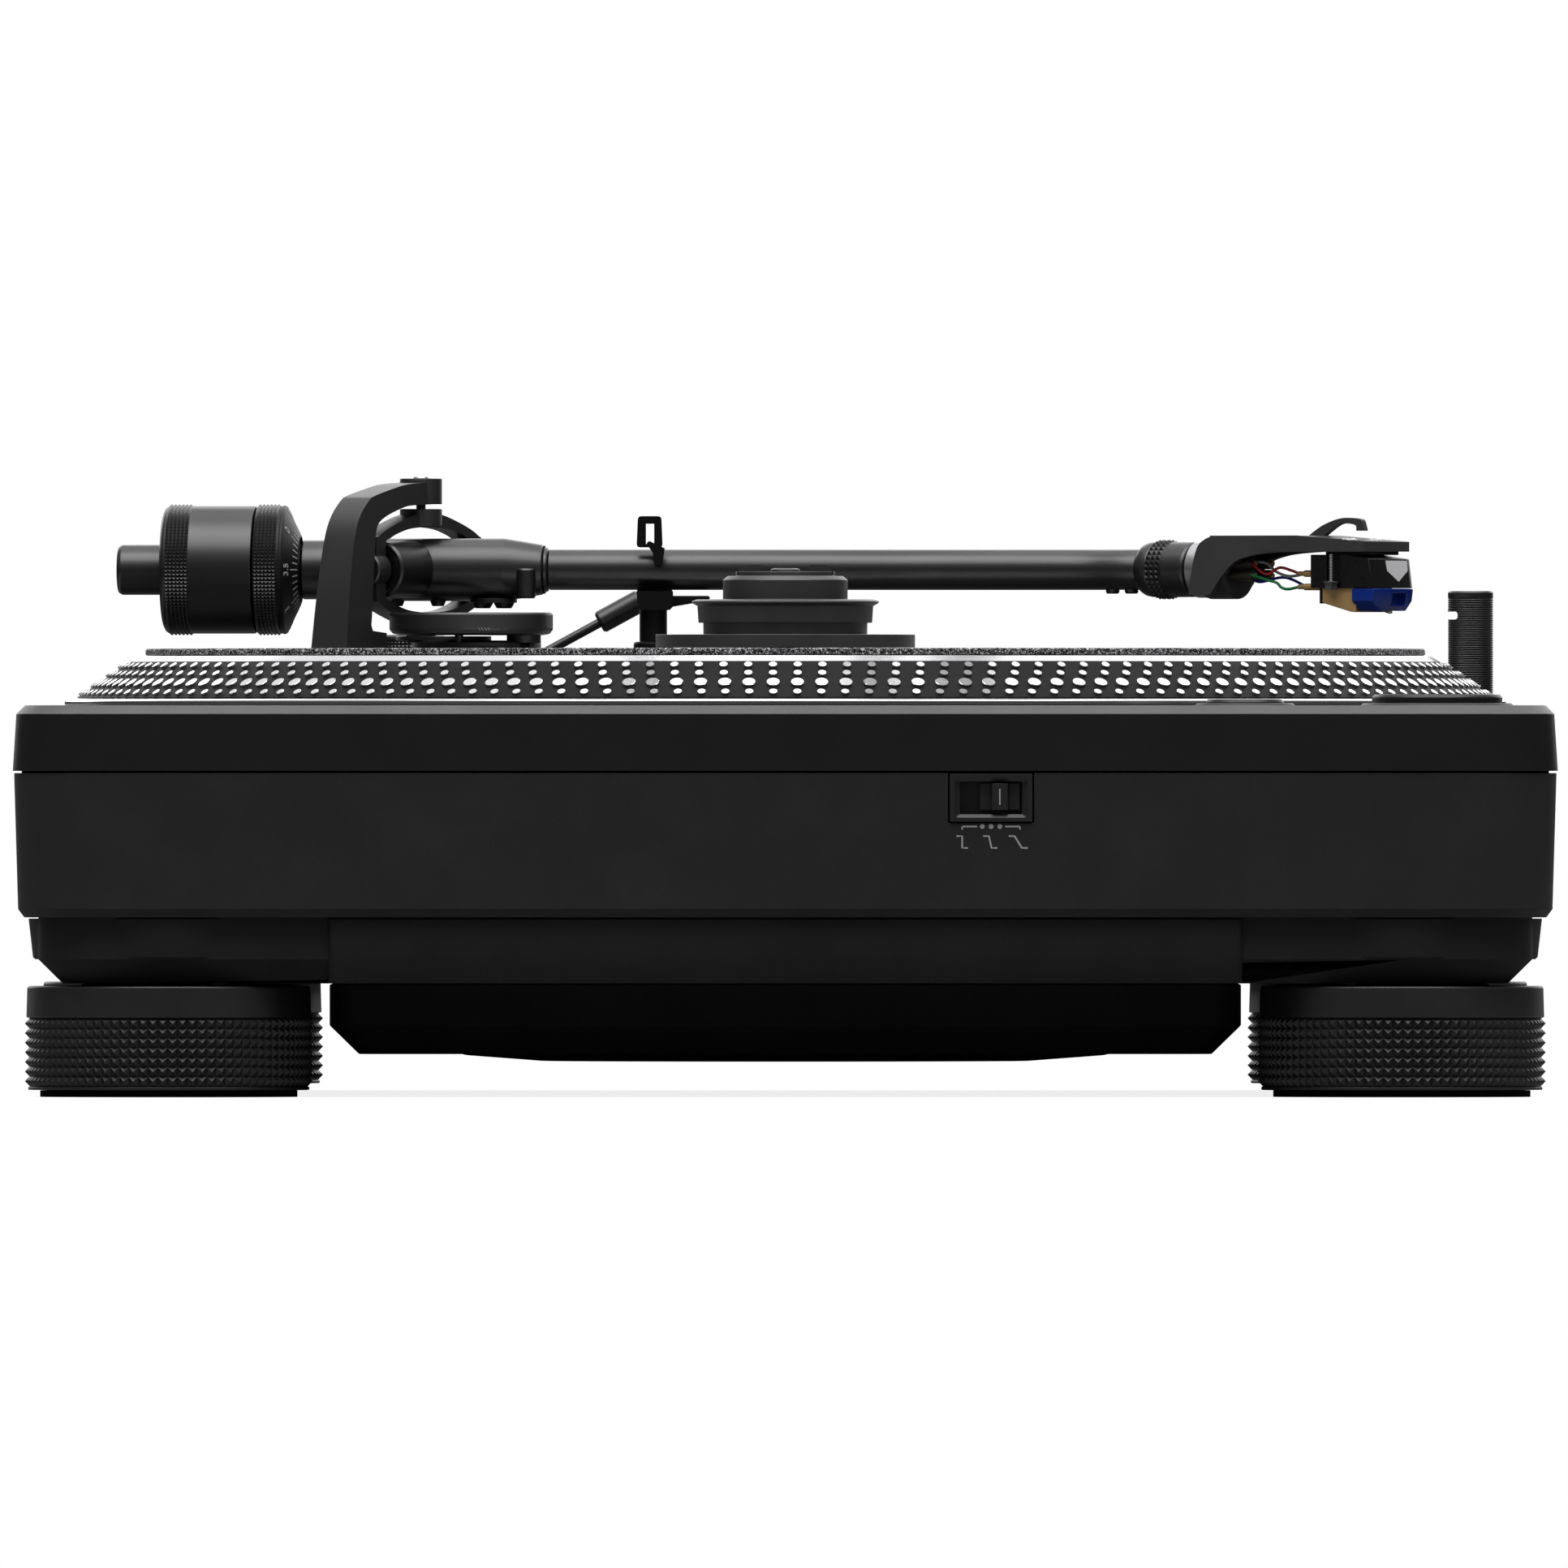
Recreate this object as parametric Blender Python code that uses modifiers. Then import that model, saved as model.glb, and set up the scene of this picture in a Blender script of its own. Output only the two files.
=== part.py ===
"""Direct-drive turntable record player, as separate sub-parts in one collection.

Metres, +Z up. The origin is the middle of the deck on the surface the feet stand on; -Y is the front, where
the user stands, and +X is the tonearm side.
"""

import math

import bmesh
import bpy
from mathutils import Vector

GAP = 0.0003
UP = Vector((0, 0, 1))

# Deck
DECK_HALF_X = 0.2265
DECK_HALF_Y = 0.1766
DECK_TOP = 0.0896
TOP_PLATE_BOTTOM = 0.0746
LOWER_TOP = 0.0741
LOWER_BOTTOM = 0.0411
CORNER_R = 0.014
TRAY_BOTTOM = 0.026
TRAY_TOP = LOWER_BOTTOM - GAP
BELLY_HALF_Y = 0.1044
BELLY_BOTTOM = 0.0097
LEDGE_HALF_X = 0.2223
WINDOW_BACK = 0.190
KEY_BOTTOM = 0.0810

# Feet
FOOT_X = 0.191
FOOT_Y = 0.1411
FOOT_R = 0.0322

# Platter, spindle and record clamp
PLATTER_X = -0.0465
PLATTER_R = 0.1663
SPINDLE_R = 0.0036
MAT_R = 0.1477
MAT_BOTTOM = 0.1012
MAT_TOP = 0.1028

# Tonearm
PIVOT = Vector((0.151, 0.08505, 0.1216))
TUBE_LEAN = math.radians(5.0)
OFFSET_ANGLE = math.radians(33.7)
TUBE_R = 0.00472
COLLAR_REAR = Vector((0.1431, -0.0836, 0.1216))
COLLAR_LENGTH = 0.0148
SHELL_DATUM = Vector((0.1360, -0.0942, 0.1216))
REAR = Vector((math.sin(TUBE_LEAN), math.cos(TUBE_LEAN), 0))
TILT_AXIS = Vector((-math.cos(OFFSET_ANGLE), math.sin(OFFSET_ANGLE), 0))
SHELL_AXIS = Vector((-math.sin(OFFSET_ANGLE), -math.cos(OFFSET_ANGLE), 0))

# Arm rest, light post, cue lever, anti-skate knob, controls and brake switch
REST = Vector((0.1463, 0.0308, 0))
LIGHT = Vector((0.057, -0.1591, 0))
LEVER = Vector((0.1875, 0.062, 0.0992))
ANTI_SKATE = Vector((0.187, 0.088, 0))
START = Vector((-0.199, -0.1491, 0))
POWER = Vector((-0.205, -0.1051, 0))
SPEED = (Vector((-0.160, -0.157, 0)), Vector((-0.130, -0.157, 0)))
SPEED_HALF_X = 0.0110
SPEED_HALF_Y = 0.0060
FADER = Vector((0.196, -0.085, 0))
BRAKE_Y = -0.047
BRAKE_FACE = -0.2264
BRAKE_BACK = -0.2190

for old in list(bpy.data.objects):
    bpy.data.objects.remove(old, do_unlink=True)

scene = bpy.context.scene
PARTS = bpy.data.collections.new("turntable")
CUTTERS = bpy.data.collections.new("turntable_cutters")
scene.collection.children.link(PARTS)
scene.collection.children.link(CUTTERS)


# ---------------------------------------------------------------- helpers

def material(name, colour, roughness, metallic=0.0):
    made = bpy.data.materials.new(name)
    made.use_nodes = True
    shader = made.node_tree.nodes["Principled BSDF"]
    shader.inputs["Base Color"].default_value = (*colour, 1)
    shader.inputs["Roughness"].default_value = roughness
    shader.inputs["Metallic"].default_value = metallic
    return made


def place(mesh, name, mat, at=(0, 0, 0)):
    """A mesh as a part of the turntable, or as a hidden cutter when it has no material."""
    obj = bpy.data.objects.new(name, mesh)
    obj.location = at
    if mat is None:
        CUTTERS.objects.link(obj)
        obj.hide_render = True
        obj.display_type = "WIRE"
    else:
        PARTS.objects.link(obj)
        mesh.materials.append(mat)
    return obj


def box(name, low, high, mat=None):
    """A box between two corners."""
    low = Vector(low)
    high = Vector(high)
    shape = bmesh.new()
    bmesh.ops.create_cube(shape, size=1)
    bmesh.ops.scale(shape, vec=high - low, verts=shape.verts)
    mesh = bpy.data.meshes.new(name)
    shape.to_mesh(mesh)
    shape.free()
    return place(mesh, name, mat, (low + high) / 2)


def turned(name, profile, mat=None, at=(0, 0, 0), axis=(0, 0, 1), steps=24, closed=False):
    """A profile of (radius, height) points, down its outer side, turned about an axis through a point."""
    mesh = bpy.data.meshes.new(name)
    edges = [(i, i + 1) for i in range(len(profile) - 1)]
    if closed:
        edges.append((len(profile) - 1, 0))
    mesh.from_pydata([(r, 0, z) for r, z in profile], edges, [])
    obj = place(mesh, name, mat, at)
    obj.rotation_euler = Vector(axis).to_track_quat("Z", "Y").to_euler()
    screw = obj.modifiers.new("turn", "SCREW")
    screw.steps = steps
    screw.render_steps = steps
    screw.use_merge_vertices = True
    screw.merge_threshold = 0.00001
    screw.use_smooth_shade = True
    return obj


def rod(name, radius, low, high, mat=None, at=(0, 0, 0), axis=(0, 0, 1), steps=20):
    """A round bar from one height to another along an axis."""
    return turned(name, [(0, high), (radius, high), (radius, low), (0, low)], mat, at, axis, steps)


def ring(name, inner, outer, low, high, mat=None, at=(0, 0, 0), axis=(0, 0, 1), steps=24):
    """A plain ring of rectangular section."""
    profile = [(inner, high), (outer, high), (outer, low), (inner, low)]
    return turned(name, profile, mat, at, axis, steps, closed=True)


def rounded_corners(half_x, half_y, radius, per_corner=5):
    """Points round a rectangle with round corners, anticlockwise."""
    points = []
    for corner, (sx, sy) in enumerate(((1, 1), (-1, 1), (-1, -1), (1, -1))):
        for step in range(per_corner):
            angle = math.pi / 2 * (corner + step / (per_corner - 1))
            points.append((
                sx * (half_x - radius) + radius * math.cos(angle),
                sy * (half_y - radius) + radius * math.sin(angle),
            ))
    return points


def casing(name, sections, mat=None, radius=CORNER_R):
    """A block lofted through rounded rectangles, each (height, half_x, half_y), from the bottom up."""
    shape = bmesh.new()
    rows = []
    for z, half_x, half_y in sections:
        outline = rounded_corners(half_x, half_y, radius)
        rows.append([shape.verts.new((x, y, z)) for x, y in outline])
    for lower, upper in zip(rows, rows[1:]):
        for i in range(len(lower)):
            j = (i + 1) % len(lower)
            shape.faces.new((lower[i], lower[j], upper[j], upper[i]))
    shape.faces.new(reversed(rows[0]))
    shape.faces.new(rows[-1])
    mesh = bpy.data.meshes.new(name)
    shape.to_mesh(mesh)
    shape.free()
    return place(mesh, name, mat)


def prism(name, outline, low, high, mat=None, place_at=None):
    """A flat outline given a thickness from low to high; place_at maps its x, y and z to the world."""
    shape = bmesh.new()
    base = [shape.verts.new((x, y, low)) for x, y in outline]
    face = shape.faces.new(base)
    raised = bmesh.ops.extrude_face_region(shape, geom=[face])
    lifted = [v for v in raised["geom"] if isinstance(v, bmesh.types.BMVert)]
    bmesh.ops.translate(shape, vec=(0, 0, high - low), verts=lifted)
    if place_at:
        for vert in shape.verts:
            vert.co = place_at(*vert.co)
    shape.normal_update()
    bmesh.ops.recalc_face_normals(shape, faces=shape.faces)
    mesh = bpy.data.meshes.new(name)
    shape.to_mesh(mesh)
    shape.free()
    return place(mesh, name, mat)


def change(obj, other, operation):
    step = obj.modifiers.new(f"{operation.lower()}_{other.name}", "BOOLEAN")
    step.operation = operation
    step.solver = "EXACT"
    step.object = other


def cut(obj, *cutters):
    for cutter in cutters:
        change(obj, cutter, "DIFFERENCE")
    return obj


def join(obj, *others):
    for other in others:
        change(obj, other, "UNION")
    return obj


def smooth_through(points, per_span):
    """Points along a Catmull-Rom curve through the given ones."""
    ends = [points[0] * 2 - points[1], *points, points[-1] * 2 - points[-2]]
    made = []
    for a, b, c, d in zip(ends, ends[1:], ends[2:], ends[3:]):
        for step in range(per_span):
            t = step / per_span
            made.append(0.5 * (
                2 * b + (c - a) * t + (2 * a - 5 * b + 4 * c - d) * t * t + (3 * b - a - 3 * c + d) * t ** 3
            ))
    return [*made, points[-1]]


def tube(name, points, radius, mat, resolution=2):
    """A round wire or pipe along a route."""
    curve = bpy.data.curves.new(name, "CURVE")
    curve.dimensions = "3D"
    curve.bevel_depth = radius
    curve.bevel_resolution = resolution
    curve.use_fill_caps = True
    spline = curve.splines.new("POLY")
    spline.points.add(len(points) - 1)
    for knot, point in zip(spline.points, points):
        knot.co = (*point, 1)
    obj = bpy.data.objects.new(name, curve)
    PARTS.objects.link(obj)
    curve.materials.append(mat)
    return obj


def arc(centre, radius, start, end, steps):
    """Points on a circle about a point, between two angles in degrees."""
    angles = [math.radians(start + (end - start) * i / steps) for i in range(steps + 1)]
    return [(centre[0] + radius * math.cos(a), centre[1] + radius * math.sin(a)) for a in angles]


# ---------------------------------------------------------------- materials

DECK_BLACK = material("deck_black", (0.020, 0.020, 0.021), 0.55)
BODY_BLACK = material("body_black", (0.024, 0.024, 0.025), 0.75)
FOOT_BLACK = material("foot_black", (0.030, 0.030, 0.030), 0.45)
RUBBER = material("rubber", (0.015, 0.015, 0.015), 0.9)
ALUMINIUM = material("aluminium", (0.80, 0.80, 0.80), 0.25, 1.0)
STEEL = material("steel", (0.60, 0.60, 0.60), 0.3, 1.0)
COPPER = material("copper", (0.72, 0.38, 0.20), 0.4, 1.0)
BOARD_GREEN = material("board_green", (0.02, 0.14, 0.06), 0.5)
FELT = material("felt", (0.05, 0.05, 0.05), 0.95)
CLAMP_GREY = material("clamp_grey", (0.07, 0.07, 0.075), 0.4, 0.6)
ARM_BLACK = material("arm_black", (0.035, 0.035, 0.036), 0.35, 0.4)
PLASTIC = material("plastic_black", (0.022, 0.022, 0.022), 0.5)
GOLD = material("gold", (0.75, 0.50, 0.16), 0.3, 1.0)
BLUE = material("stylus_blue", (0.02, 0.12, 0.55), 0.4)
WIRE_COLOURS = {
    "red": (0.60, 0.03, 0.03),
    "white": (0.75, 0.75, 0.75),
    "blue": (0.03, 0.15, 0.60),
    "green": (0.03, 0.40, 0.12),
}


# ---------------------------------------------------------------- deck

def top_plate():
    plate = casing("top_plate", [
        (TOP_PLATE_BOTTOM, DECK_HALF_X, DECK_HALF_Y),
        (DECK_TOP - 0.0020, DECK_HALF_X - 0.0008, DECK_HALF_Y - 0.0008),
        (DECK_TOP, DECK_HALF_X - 0.0028, DECK_HALF_Y - 0.0028),
    ], DECK_BLACK)
    hollow = casing("top_plate_hollow", [(0.070, 0.215, 0.168), (0.084, 0.215, 0.168)], radius=0.006)
    low = 0.070
    high = 0.095
    holes = [
        rod("bearing_hole", 0.0148, low, high, at=(PLATTER_X, 0, 0)),
        rod("arm_hole", 0.0306, low, high, at=(PIVOT.x, PIVOT.y, 0)),
        rod("light_hole", 0.0073, low, high, at=LIGHT),
        rod("start_hole", 0.0153, low, high, at=START),
        rod("power_hole", 0.0093, low, high, at=POWER),
        box("fader_slot", FADER + Vector((-0.0035, -0.057, low)), FADER + Vector((0.0035, 0.057, high))),
    ]
    for number, at in enumerate(SPEED):
        size = Vector((SPEED_HALF_X + GAP, SPEED_HALF_Y + GAP, 0))
        holes.append(box(f"speed_hole_{number}", at - size + UP * low, at + size + UP * high))
    cut(plate, hollow, *holes)


def lower_body():
    body = casing("lower_body", [
        (LOWER_BOTTOM, 0.2239, 0.1740),
        (0.0430, 0.2253, 0.1754),
        (LOWER_TOP, DECK_HALF_X - 0.0003, DECK_HALF_Y - 0.0003),
    ], BODY_BLACK)
    hollow = casing("body_hollow", [(0.030, 0.195, 0.145), (0.090, 0.195, 0.145)], radius=0.02)
    light_well = rod("light_well", 0.0075, 0.030, 0.090, at=LIGHT)
    panel_window = box("panel_window", (0.020, 0.130, 0.048), (0.140, WINDOW_BACK, 0.070))
    inlet_window = box("inlet_window", (-0.150, 0.130, 0.046), (-0.110, WINDOW_BACK, 0.070))
    pocket_low = (-0.240, BRAKE_Y - 0.0098, 0.0627)
    pocket_high = (BRAKE_BACK + 0.0005, BRAKE_Y + 0.0098, 0.090)
    switch_pocket = box("switch_pocket", pocket_low, pocket_high)
    cut(body, hollow, light_well, panel_window, inlet_window, switch_pocket)


def bottom_tray():
    tray = casing("bottom_tray", [
        (TRAY_BOTTOM, DECK_HALF_X - 0.0113, 0.1653),
        (0.0315, DECK_HALF_X - 0.0058, 0.1708),
        (TRAY_TOP, DECK_HALF_X - 0.0058, 0.1708),
    ], BODY_BLACK)
    ledge = casing("central_ledge", [
        (TRAY_BOTTOM + 0.0001, LEDGE_HALF_X - 0.0030, BELLY_HALF_Y),
        (0.0326, LEDGE_HALF_X, BELLY_HALF_Y),
        (TRAY_TOP - 0.0001, LEDGE_HALF_X, BELLY_HALF_Y),
    ], radius=0.0015)
    join(tray, ledge)
    profile = [(0, TRAY_TOP), (0.0321, TRAY_TOP), (0.0311, 0.0320), (0.0306, 0.0315), (0, 0.0315)]
    for number, (x, y) in enumerate(corners()):
        join(tray, turned(f"boss_{number}", profile, at=(x, y, 0), steps=24))


def motor_cover():
    casing("motor_cover", [
        (BELLY_BOTTOM, 0.1733, BELLY_HALF_Y - 0.0067),
        (0.0163, 0.1800, BELLY_HALF_Y),
        (TRAY_BOTTOM - GAP, 0.1800, BELLY_HALF_Y),
    ], BODY_BLACK, radius=0.006)
    turned("bearing_dish", [
        (0, BELLY_BOTTOM - GAP), (0.0753, BELLY_BOTTOM - GAP), (0.0735, 0.0090), (0.0562, 0.0077), (0, 0.0077),
    ], BODY_BLACK, at=(PLATTER_X, 0, 0))


def corners():
    return [(x, y) for x in (-FOOT_X, FOOT_X) for y in (-FOOT_Y, FOOT_Y)]


def feet():
    profile = [
        (0, 0.0254), (FOOT_R, 0.0254), (0.0325, 0.0182), (0.0329, 0.0176), (0.0329, 0.0025), (FOOT_R, 0.0015 + GAP),
        (0, 0.0015 + GAP),
    ]
    for name, (x, y) in zip(("front_left", "rear_left", "front_right", "rear_right"), corners()):
        turned(f"foot_{name}", profile, FOOT_BLACK, at=(x, y, 0), steps=20)
        rod(f"foot_pad_{name}", 0.02945, 0, 0.0015, RUBBER, at=(x, y, 0))


# ---------------------------------------------------------------- drive and electronics

def platter():
    turned("platter", [
        (0.0043, 0.1009), (0.1482, 0.1009), (0.1490, 0.1011), (0.1509, 0.0999), (0.1634, 0.0914),
        (0.1655, 0.0911), (PLATTER_R, 0.0907), (PLATTER_R, 0.0899), (0.1585, 0.0899), (0.1585, 0.0925),
        (0.0300, 0.0972), (0.0300, 0.0902), (0.0043, 0.0902),
    ], ALUMINIUM, at=(PLATTER_X, 0, 0), steps=48, closed=True)
    ring("slipmat", 0.0043, MAT_R, MAT_BOTTOM, MAT_TOP, FELT, at=(PLATTER_X, 0, 0), steps=40)
    ring("rotor_magnet", 0.052, 0.066, 0.0908, 0.0955, STEEL, at=(PLATTER_X, 0, 0))
    turned("spindle", [(0, 0.1195), (0.0030, 0.1195), (SPINDLE_R, 0.1185), (SPINDLE_R, 0.058), (0, 0.058)],
           STEEL, at=(PLATTER_X, 0, 0), steps=20)


def record_clamp():
    clamp = turned("record_clamp", [
        (0.0039, 0.1206), (0.0114, 0.1206), (0.0114, 0.1196), (0.0144, 0.1190), (0.0144, 0.1142), (0.0216, 0.1139),
        (0.0216, 0.1127), (0.0197, 0.1120), (0.0192, 0.1061), (0.02995, 0.1058), (0.02995, 0.1031),
        (0.0039, 0.1031),
    ], CLAMP_GREY, at=(PLATTER_X, 0, 0), steps=24, closed=True)
    for side in (-1, 1):
        low = (PLATTER_X - 0.0030, side * 0.00845 - 0.0028, 0.1200)
        high = (PLATTER_X + 0.0030, side * 0.00845 + 0.0028, 0.1222)
        join(clamp, box(f"clamp_tab_{side + 1}", low, high))


def motor():
    turned("bearing_housing", [
        (0.0040, 0.0892), (0.0140, 0.0892), (0.0140, 0.0480), (0.0040, 0.0480),
    ], STEEL, at=(PLATTER_X, 0, 0), closed=True, steps=24)
    ring("motor_stator", 0.0175, 0.0500, 0.0535, 0.0690, COPPER, at=(PLATTER_X, 0, 0))


def electronics():
    board = box("main_circuit_board", (0.075, -0.120, 0.0480), (0.185, 0.020, 0.0496), BOARD_GREEN)
    for number, (x, y) in enumerate((x, y) for x in (0.082, 0.178) for y in (-0.113, 0.013)):
        join(board, rod(f"standoff_{number}", 0.0025, LOWER_BOTTOM, 0.0485, at=(x, y, 0), steps=10))
    box("power_supply", (-0.185, 0.075, LOWER_BOTTOM), (-0.100, 0.135, 0.0700), STEEL)
    inlet = box("power_inlet", (-0.1497, 0.1450, 0.0463), (-0.1103, 0.1745, 0.0697), PLASTIC)
    cut(inlet, box("inlet_socket", (-0.1380, 0.1600, 0.0520), (-0.1220, 0.1900, 0.0610)))
    panel = box("terminal_panel", (0.0203, 0.1560, 0.0483), (0.1397, 0.1590, 0.0697), PLASTIC)
    forwards = (0, -1, 0)
    for number, x in enumerate((0.045, 0.065)):
        at = (x, 0, 0.059)
        join(panel, rod(f"socket_{number}", 0.0042, -0.1735, -0.1570, at=at, axis=forwards, steps=16))
        cut(panel, rod(f"socket_bore_{number}", 0.0022, -WINDOW_BACK, -0.1600, at=at, axis=forwards, steps=12))
    join(panel, rod("ground_post", 0.0040, -0.1700, -0.1570, at=(0.105, 0, 0.059), axis=forwards, steps=16))


# ---------------------------------------------------------------- controls

def controls():
    turned("start_stop_button", [
        (0, 0.0921), (0.0142, 0.0921), (0.01495, 0.0914), (0.01495, KEY_BOTTOM), (0, KEY_BOTTOM),
    ], CLAMP_GREY, at=START)
    turned("power_button", [
        (0, 0.0910), (0.00825, 0.0910), (0.0090, 0.0899), (0.0090, KEY_BOTTOM), (0, KEY_BOTTOM),
    ], CLAMP_GREY, at=POWER, steps=24)
    for name, at in zip(("speed_button_33", "speed_button_45"), SPEED):
        size = Vector((SPEED_HALF_X, SPEED_HALF_Y, 0))
        box(name, at - size + UP * KEY_BOTTOM, at + size + UP * 0.0906, PLASTIC)
    plate = box("pitch_fader_plate", FADER + Vector((-0.011, -0.066, DECK_TOP + GAP)),
                FADER + Vector((0.011, 0.066, 0.0908)), PLASTIC)
    cut(plate, box("plate_slot", FADER + Vector((-0.0025, -0.0565, 0.080)), FADER + Vector((0.0025, 0.0565, 0.095))))
    knob = box("pitch_fader_knob", FADER + Vector((-0.0080, -0.0060, 0.0912)),
               FADER + Vector((0.0080, 0.0060, 0.0985)), PLASTIC)
    join(knob, box("fader_stem", FADER + Vector((-0.0015, -0.0030, 0.078)), FADER + Vector((0.0015, 0.0030, 0.093))))


def brake_switch():
    low = (BRAKE_FACE, BRAKE_Y - 0.00945, 0.0630)
    high = (BRAKE_BACK, BRAKE_Y + 0.00945, 0.0739)
    bezel = box("brake_switch_bezel", low, high, PLASTIC)
    cut(bezel, box("switch_recess", (-0.240, -0.05416, 0.0642), (-0.2210, -0.03983, 0.0732)))
    knob = box("brake_switch_knob", (-0.2262, -0.0536, 0.0657), (-0.2214, -0.0445, 0.0717), PLASTIC)
    cut(knob, box("knob_valley_front", (-0.240, -0.0600, 0.060), (-0.2245, -0.0510, 0.080)),
        box("knob_valley_rear", (-0.240, -0.0472, 0.060), (-0.2245, -0.0400, 0.080)))


def stylus_light():
    ring("light_sleeve", 0.0056, 0.0070, 0.0600, 0.0912, PLASTIC, at=LIGHT, steps=24)
    post = turned("light_post", [
        (0, 0.1164), (0.0049, 0.1164), (0.00525, 0.1160), (0.00525, 0.0670), (0, 0.0670),
    ], ARM_BLACK, at=LIGHT, steps=24)
    slot_low = LIGHT + Vector((-0.0060, 0.0031, 0.1098))
    slot_high = LIGHT + Vector((0.0060, 0.0070, 0.1117))
    cut(post, box("light_slot", slot_low, slot_high))


# ---------------------------------------------------------------- arm base

def arm_base():
    at = (PIVOT.x, PIVOT.y, 0)
    ring("arm_base_housing", 0.0302, 0.0375, DECK_TOP + GAP, 0.0950, ARM_BLACK, at=at, steps=28)
    ring("arm_height_ring", 0.0302, 0.0365, 0.0953, 0.0990, ARM_BLACK, at=at, steps=28)
    base = turned("arm_base", [
        (0, 0.1026), (0.0385, 0.1026), (0.0385, 0.0993), (0.0298, 0.0993), (0.0298, 0.0780), (0.0270, 0.0780),
        (0.0270, 0.0960), (0, 0.0960),
    ], ARM_BLACK, at=at, steps=28)
    tongue = box("base_tongue", (REST.x - 0.010, REST.y - 0.009, 0.0994), (REST.x + 0.011, 0.080, 0.1025))
    lug = rod("knob_lug", 0.0105, 0.0992, 0.1027, at=(ANTI_SKATE.x, ANTI_SKATE.y, 0), steps=20)
    boss_at = (0, LEVER.y, LEVER.z + 0.0005)
    hinge_boss = rod("hinge_boss", 0.0030, 0.1820, 0.1842, at=boss_at, axis=(1, 0, 0), steps=16)
    hinge_lug = box("hinge_lug", (0.170, LEVER.y - 0.004, 0.0995), (0.1830, LEVER.y + 0.004, 0.1024))
    join(base, tongue, lug, hinge_lug, hinge_boss)
    turned("anti_skate_knob", [
        (0, 0.1065), (0.0085, 0.1065), (0.0090, 0.1060), (0.0090, 0.1030), (0, 0.1030),
    ], ARM_BLACK, at=(ANTI_SKATE.x, ANTI_SKATE.y, 0), steps=28)


def arm_platform():
    """A crescent round the foot of the gimbal, on two posts over a round base."""
    middle = Vector((0.1405, 0.07355, 0))
    crescent = turned("arm_platform", [
        (0, 0.1116), (0.0184, 0.1116), (0.01935, 0.1106), (0.01935, 0.1088), (0.0168, 0.1063), (0, 0.1063),
    ], ARM_BLACK, at=middle, steps=24)
    well = rod("gimbal_well", 0.0168, 0.1058, 0.120, at=(PIVOT.x, PIVOT.y, 0), steps=24)
    slot = lift_arc("lift_slot", 0.00185, 0.1073, 0.120, 1, 52)
    stem_hole = rod("stem_hole", 0.0026, 0.100, 0.120, at=lift_stem(), steps=16)
    foot = rod("platform_foot", 0.0151, 0.1029, 0.1051, at=(0.1480, 0.0721, 0), steps=20)
    stud = rod("pivot_stud", 0.0035, 0.1040, 0.1071, at=(PIVOT.x, PIVOT.y, 0), steps=16)
    front_post = rod("front_post", 0.0040, 0.1040, 0.1075, at=(0.1400, 0.0610, 0), steps=16)
    rear_post = rod("rear_post", 0.0010, 0.1040, 0.1075, at=(0.1345, 0.0761, 0), steps=10)
    cut(crescent, well, slot)
    join(crescent, front_post, rear_post, foot, stud)
    cut(crescent, stem_hole)


def lift_stem():
    angle = math.radians(27)
    return (PIVOT.x - 0.0255 * math.sin(angle), PIVOT.y - 0.0255 * math.cos(angle), 0)


def lift_arc(name, half_width, low, high, start, end, mat=None):
    """A curved bar about the vertical pivot, between two headings from the front towards the platter."""
    outer = arc(PIVOT, 0.0255 + half_width, -90 - start, -90 - end, 8)
    inner = arc(PIVOT, 0.0255 - half_width, -90 - end, -90 - start, 8)
    return prism(name, outer + inner, low, high, mat)


def lift_bar():
    bar = lift_arc("lift_bar", 0.0012, 0.1076, 0.1113, 4, 49, PLASTIC)
    join(bar, rod("lift_stem", 0.0021, 0.1032, 0.1085, at=lift_stem(), steps=12))


def cue_lever():
    turned("cue_lever", [
        (0, 0.1905), (0.0036, 0.1905), (0.0036, 0.1845), (0, 0.1845),
    ], ARM_BLACK, at=(0, LEVER.y, LEVER.z), axis=(1, 0, 0), steps=18)
    lever = bpy.data.objects["cue_lever"]
    rise = math.radians(28.6)
    out = Vector((0, -math.cos(rise), math.sin(rise)))
    stem = rod("lever_stem", 0.0011, 0.0020, 0.0240, at=LEVER, axis=out, steps=12)
    handle = rod("lever_handle", 0.0027, 0.0210, 0.0322, at=LEVER, axis=out, steps=14)
    join(lever, stem, handle)


def arm_rest():
    rest = rod("arm_rest", 0.00322, 0.1040, 0.1135, ARM_BLACK, at=REST, steps=20)
    disc = rod("rest_disc", 0.0046, 0.1029, 0.1048, at=REST, steps=20)
    block = box("rest_block", (0.1395, 0.0262, 0.1124), (0.1566, 0.03475, 0.1166))
    far_wall = box("rest_far_wall", (0.1524, 0.0264, 0.1150), (0.1564, 0.0346, 0.1184))
    blade = box("rest_blade", (0.1430, 0.0176, 0.1142), (0.1500, 0.0270, 0.1158))
    cradle = rod("rest_cradle", 0.0071, -0.045, -0.010, at=(REST.x, 0, PIVOT.z), axis=(0, -1, 0), steps=20)
    join(rest, disc, block, blade, far_wall)
    cut(rest, cradle)


def arm_clip():
    """A springy hook over the tube with a thumb tab, seen along the tube."""
    outline = [
        (0.1524, 0.1195), (0.1562, 0.1195), (0.1562, 0.1280), (0.1545, 0.1292), (0.1425, 0.1292), (0.1425, 0.1341),
        (0.1408, 0.1341), (0.1390, 0.1285), (0.1390, 0.1224), (0.1405, 0.1224), (0.1405, 0.1268), (0.1415, 0.1273),
        (0.1515, 0.1273), (0.1524, 0.1264),
    ]
    prism("arm_clip", outline, 0.0286, 0.0346, PLASTIC, lambda x, z, y: Vector((x, y, z)))


# ---------------------------------------------------------------- gimbal and arm

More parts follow.
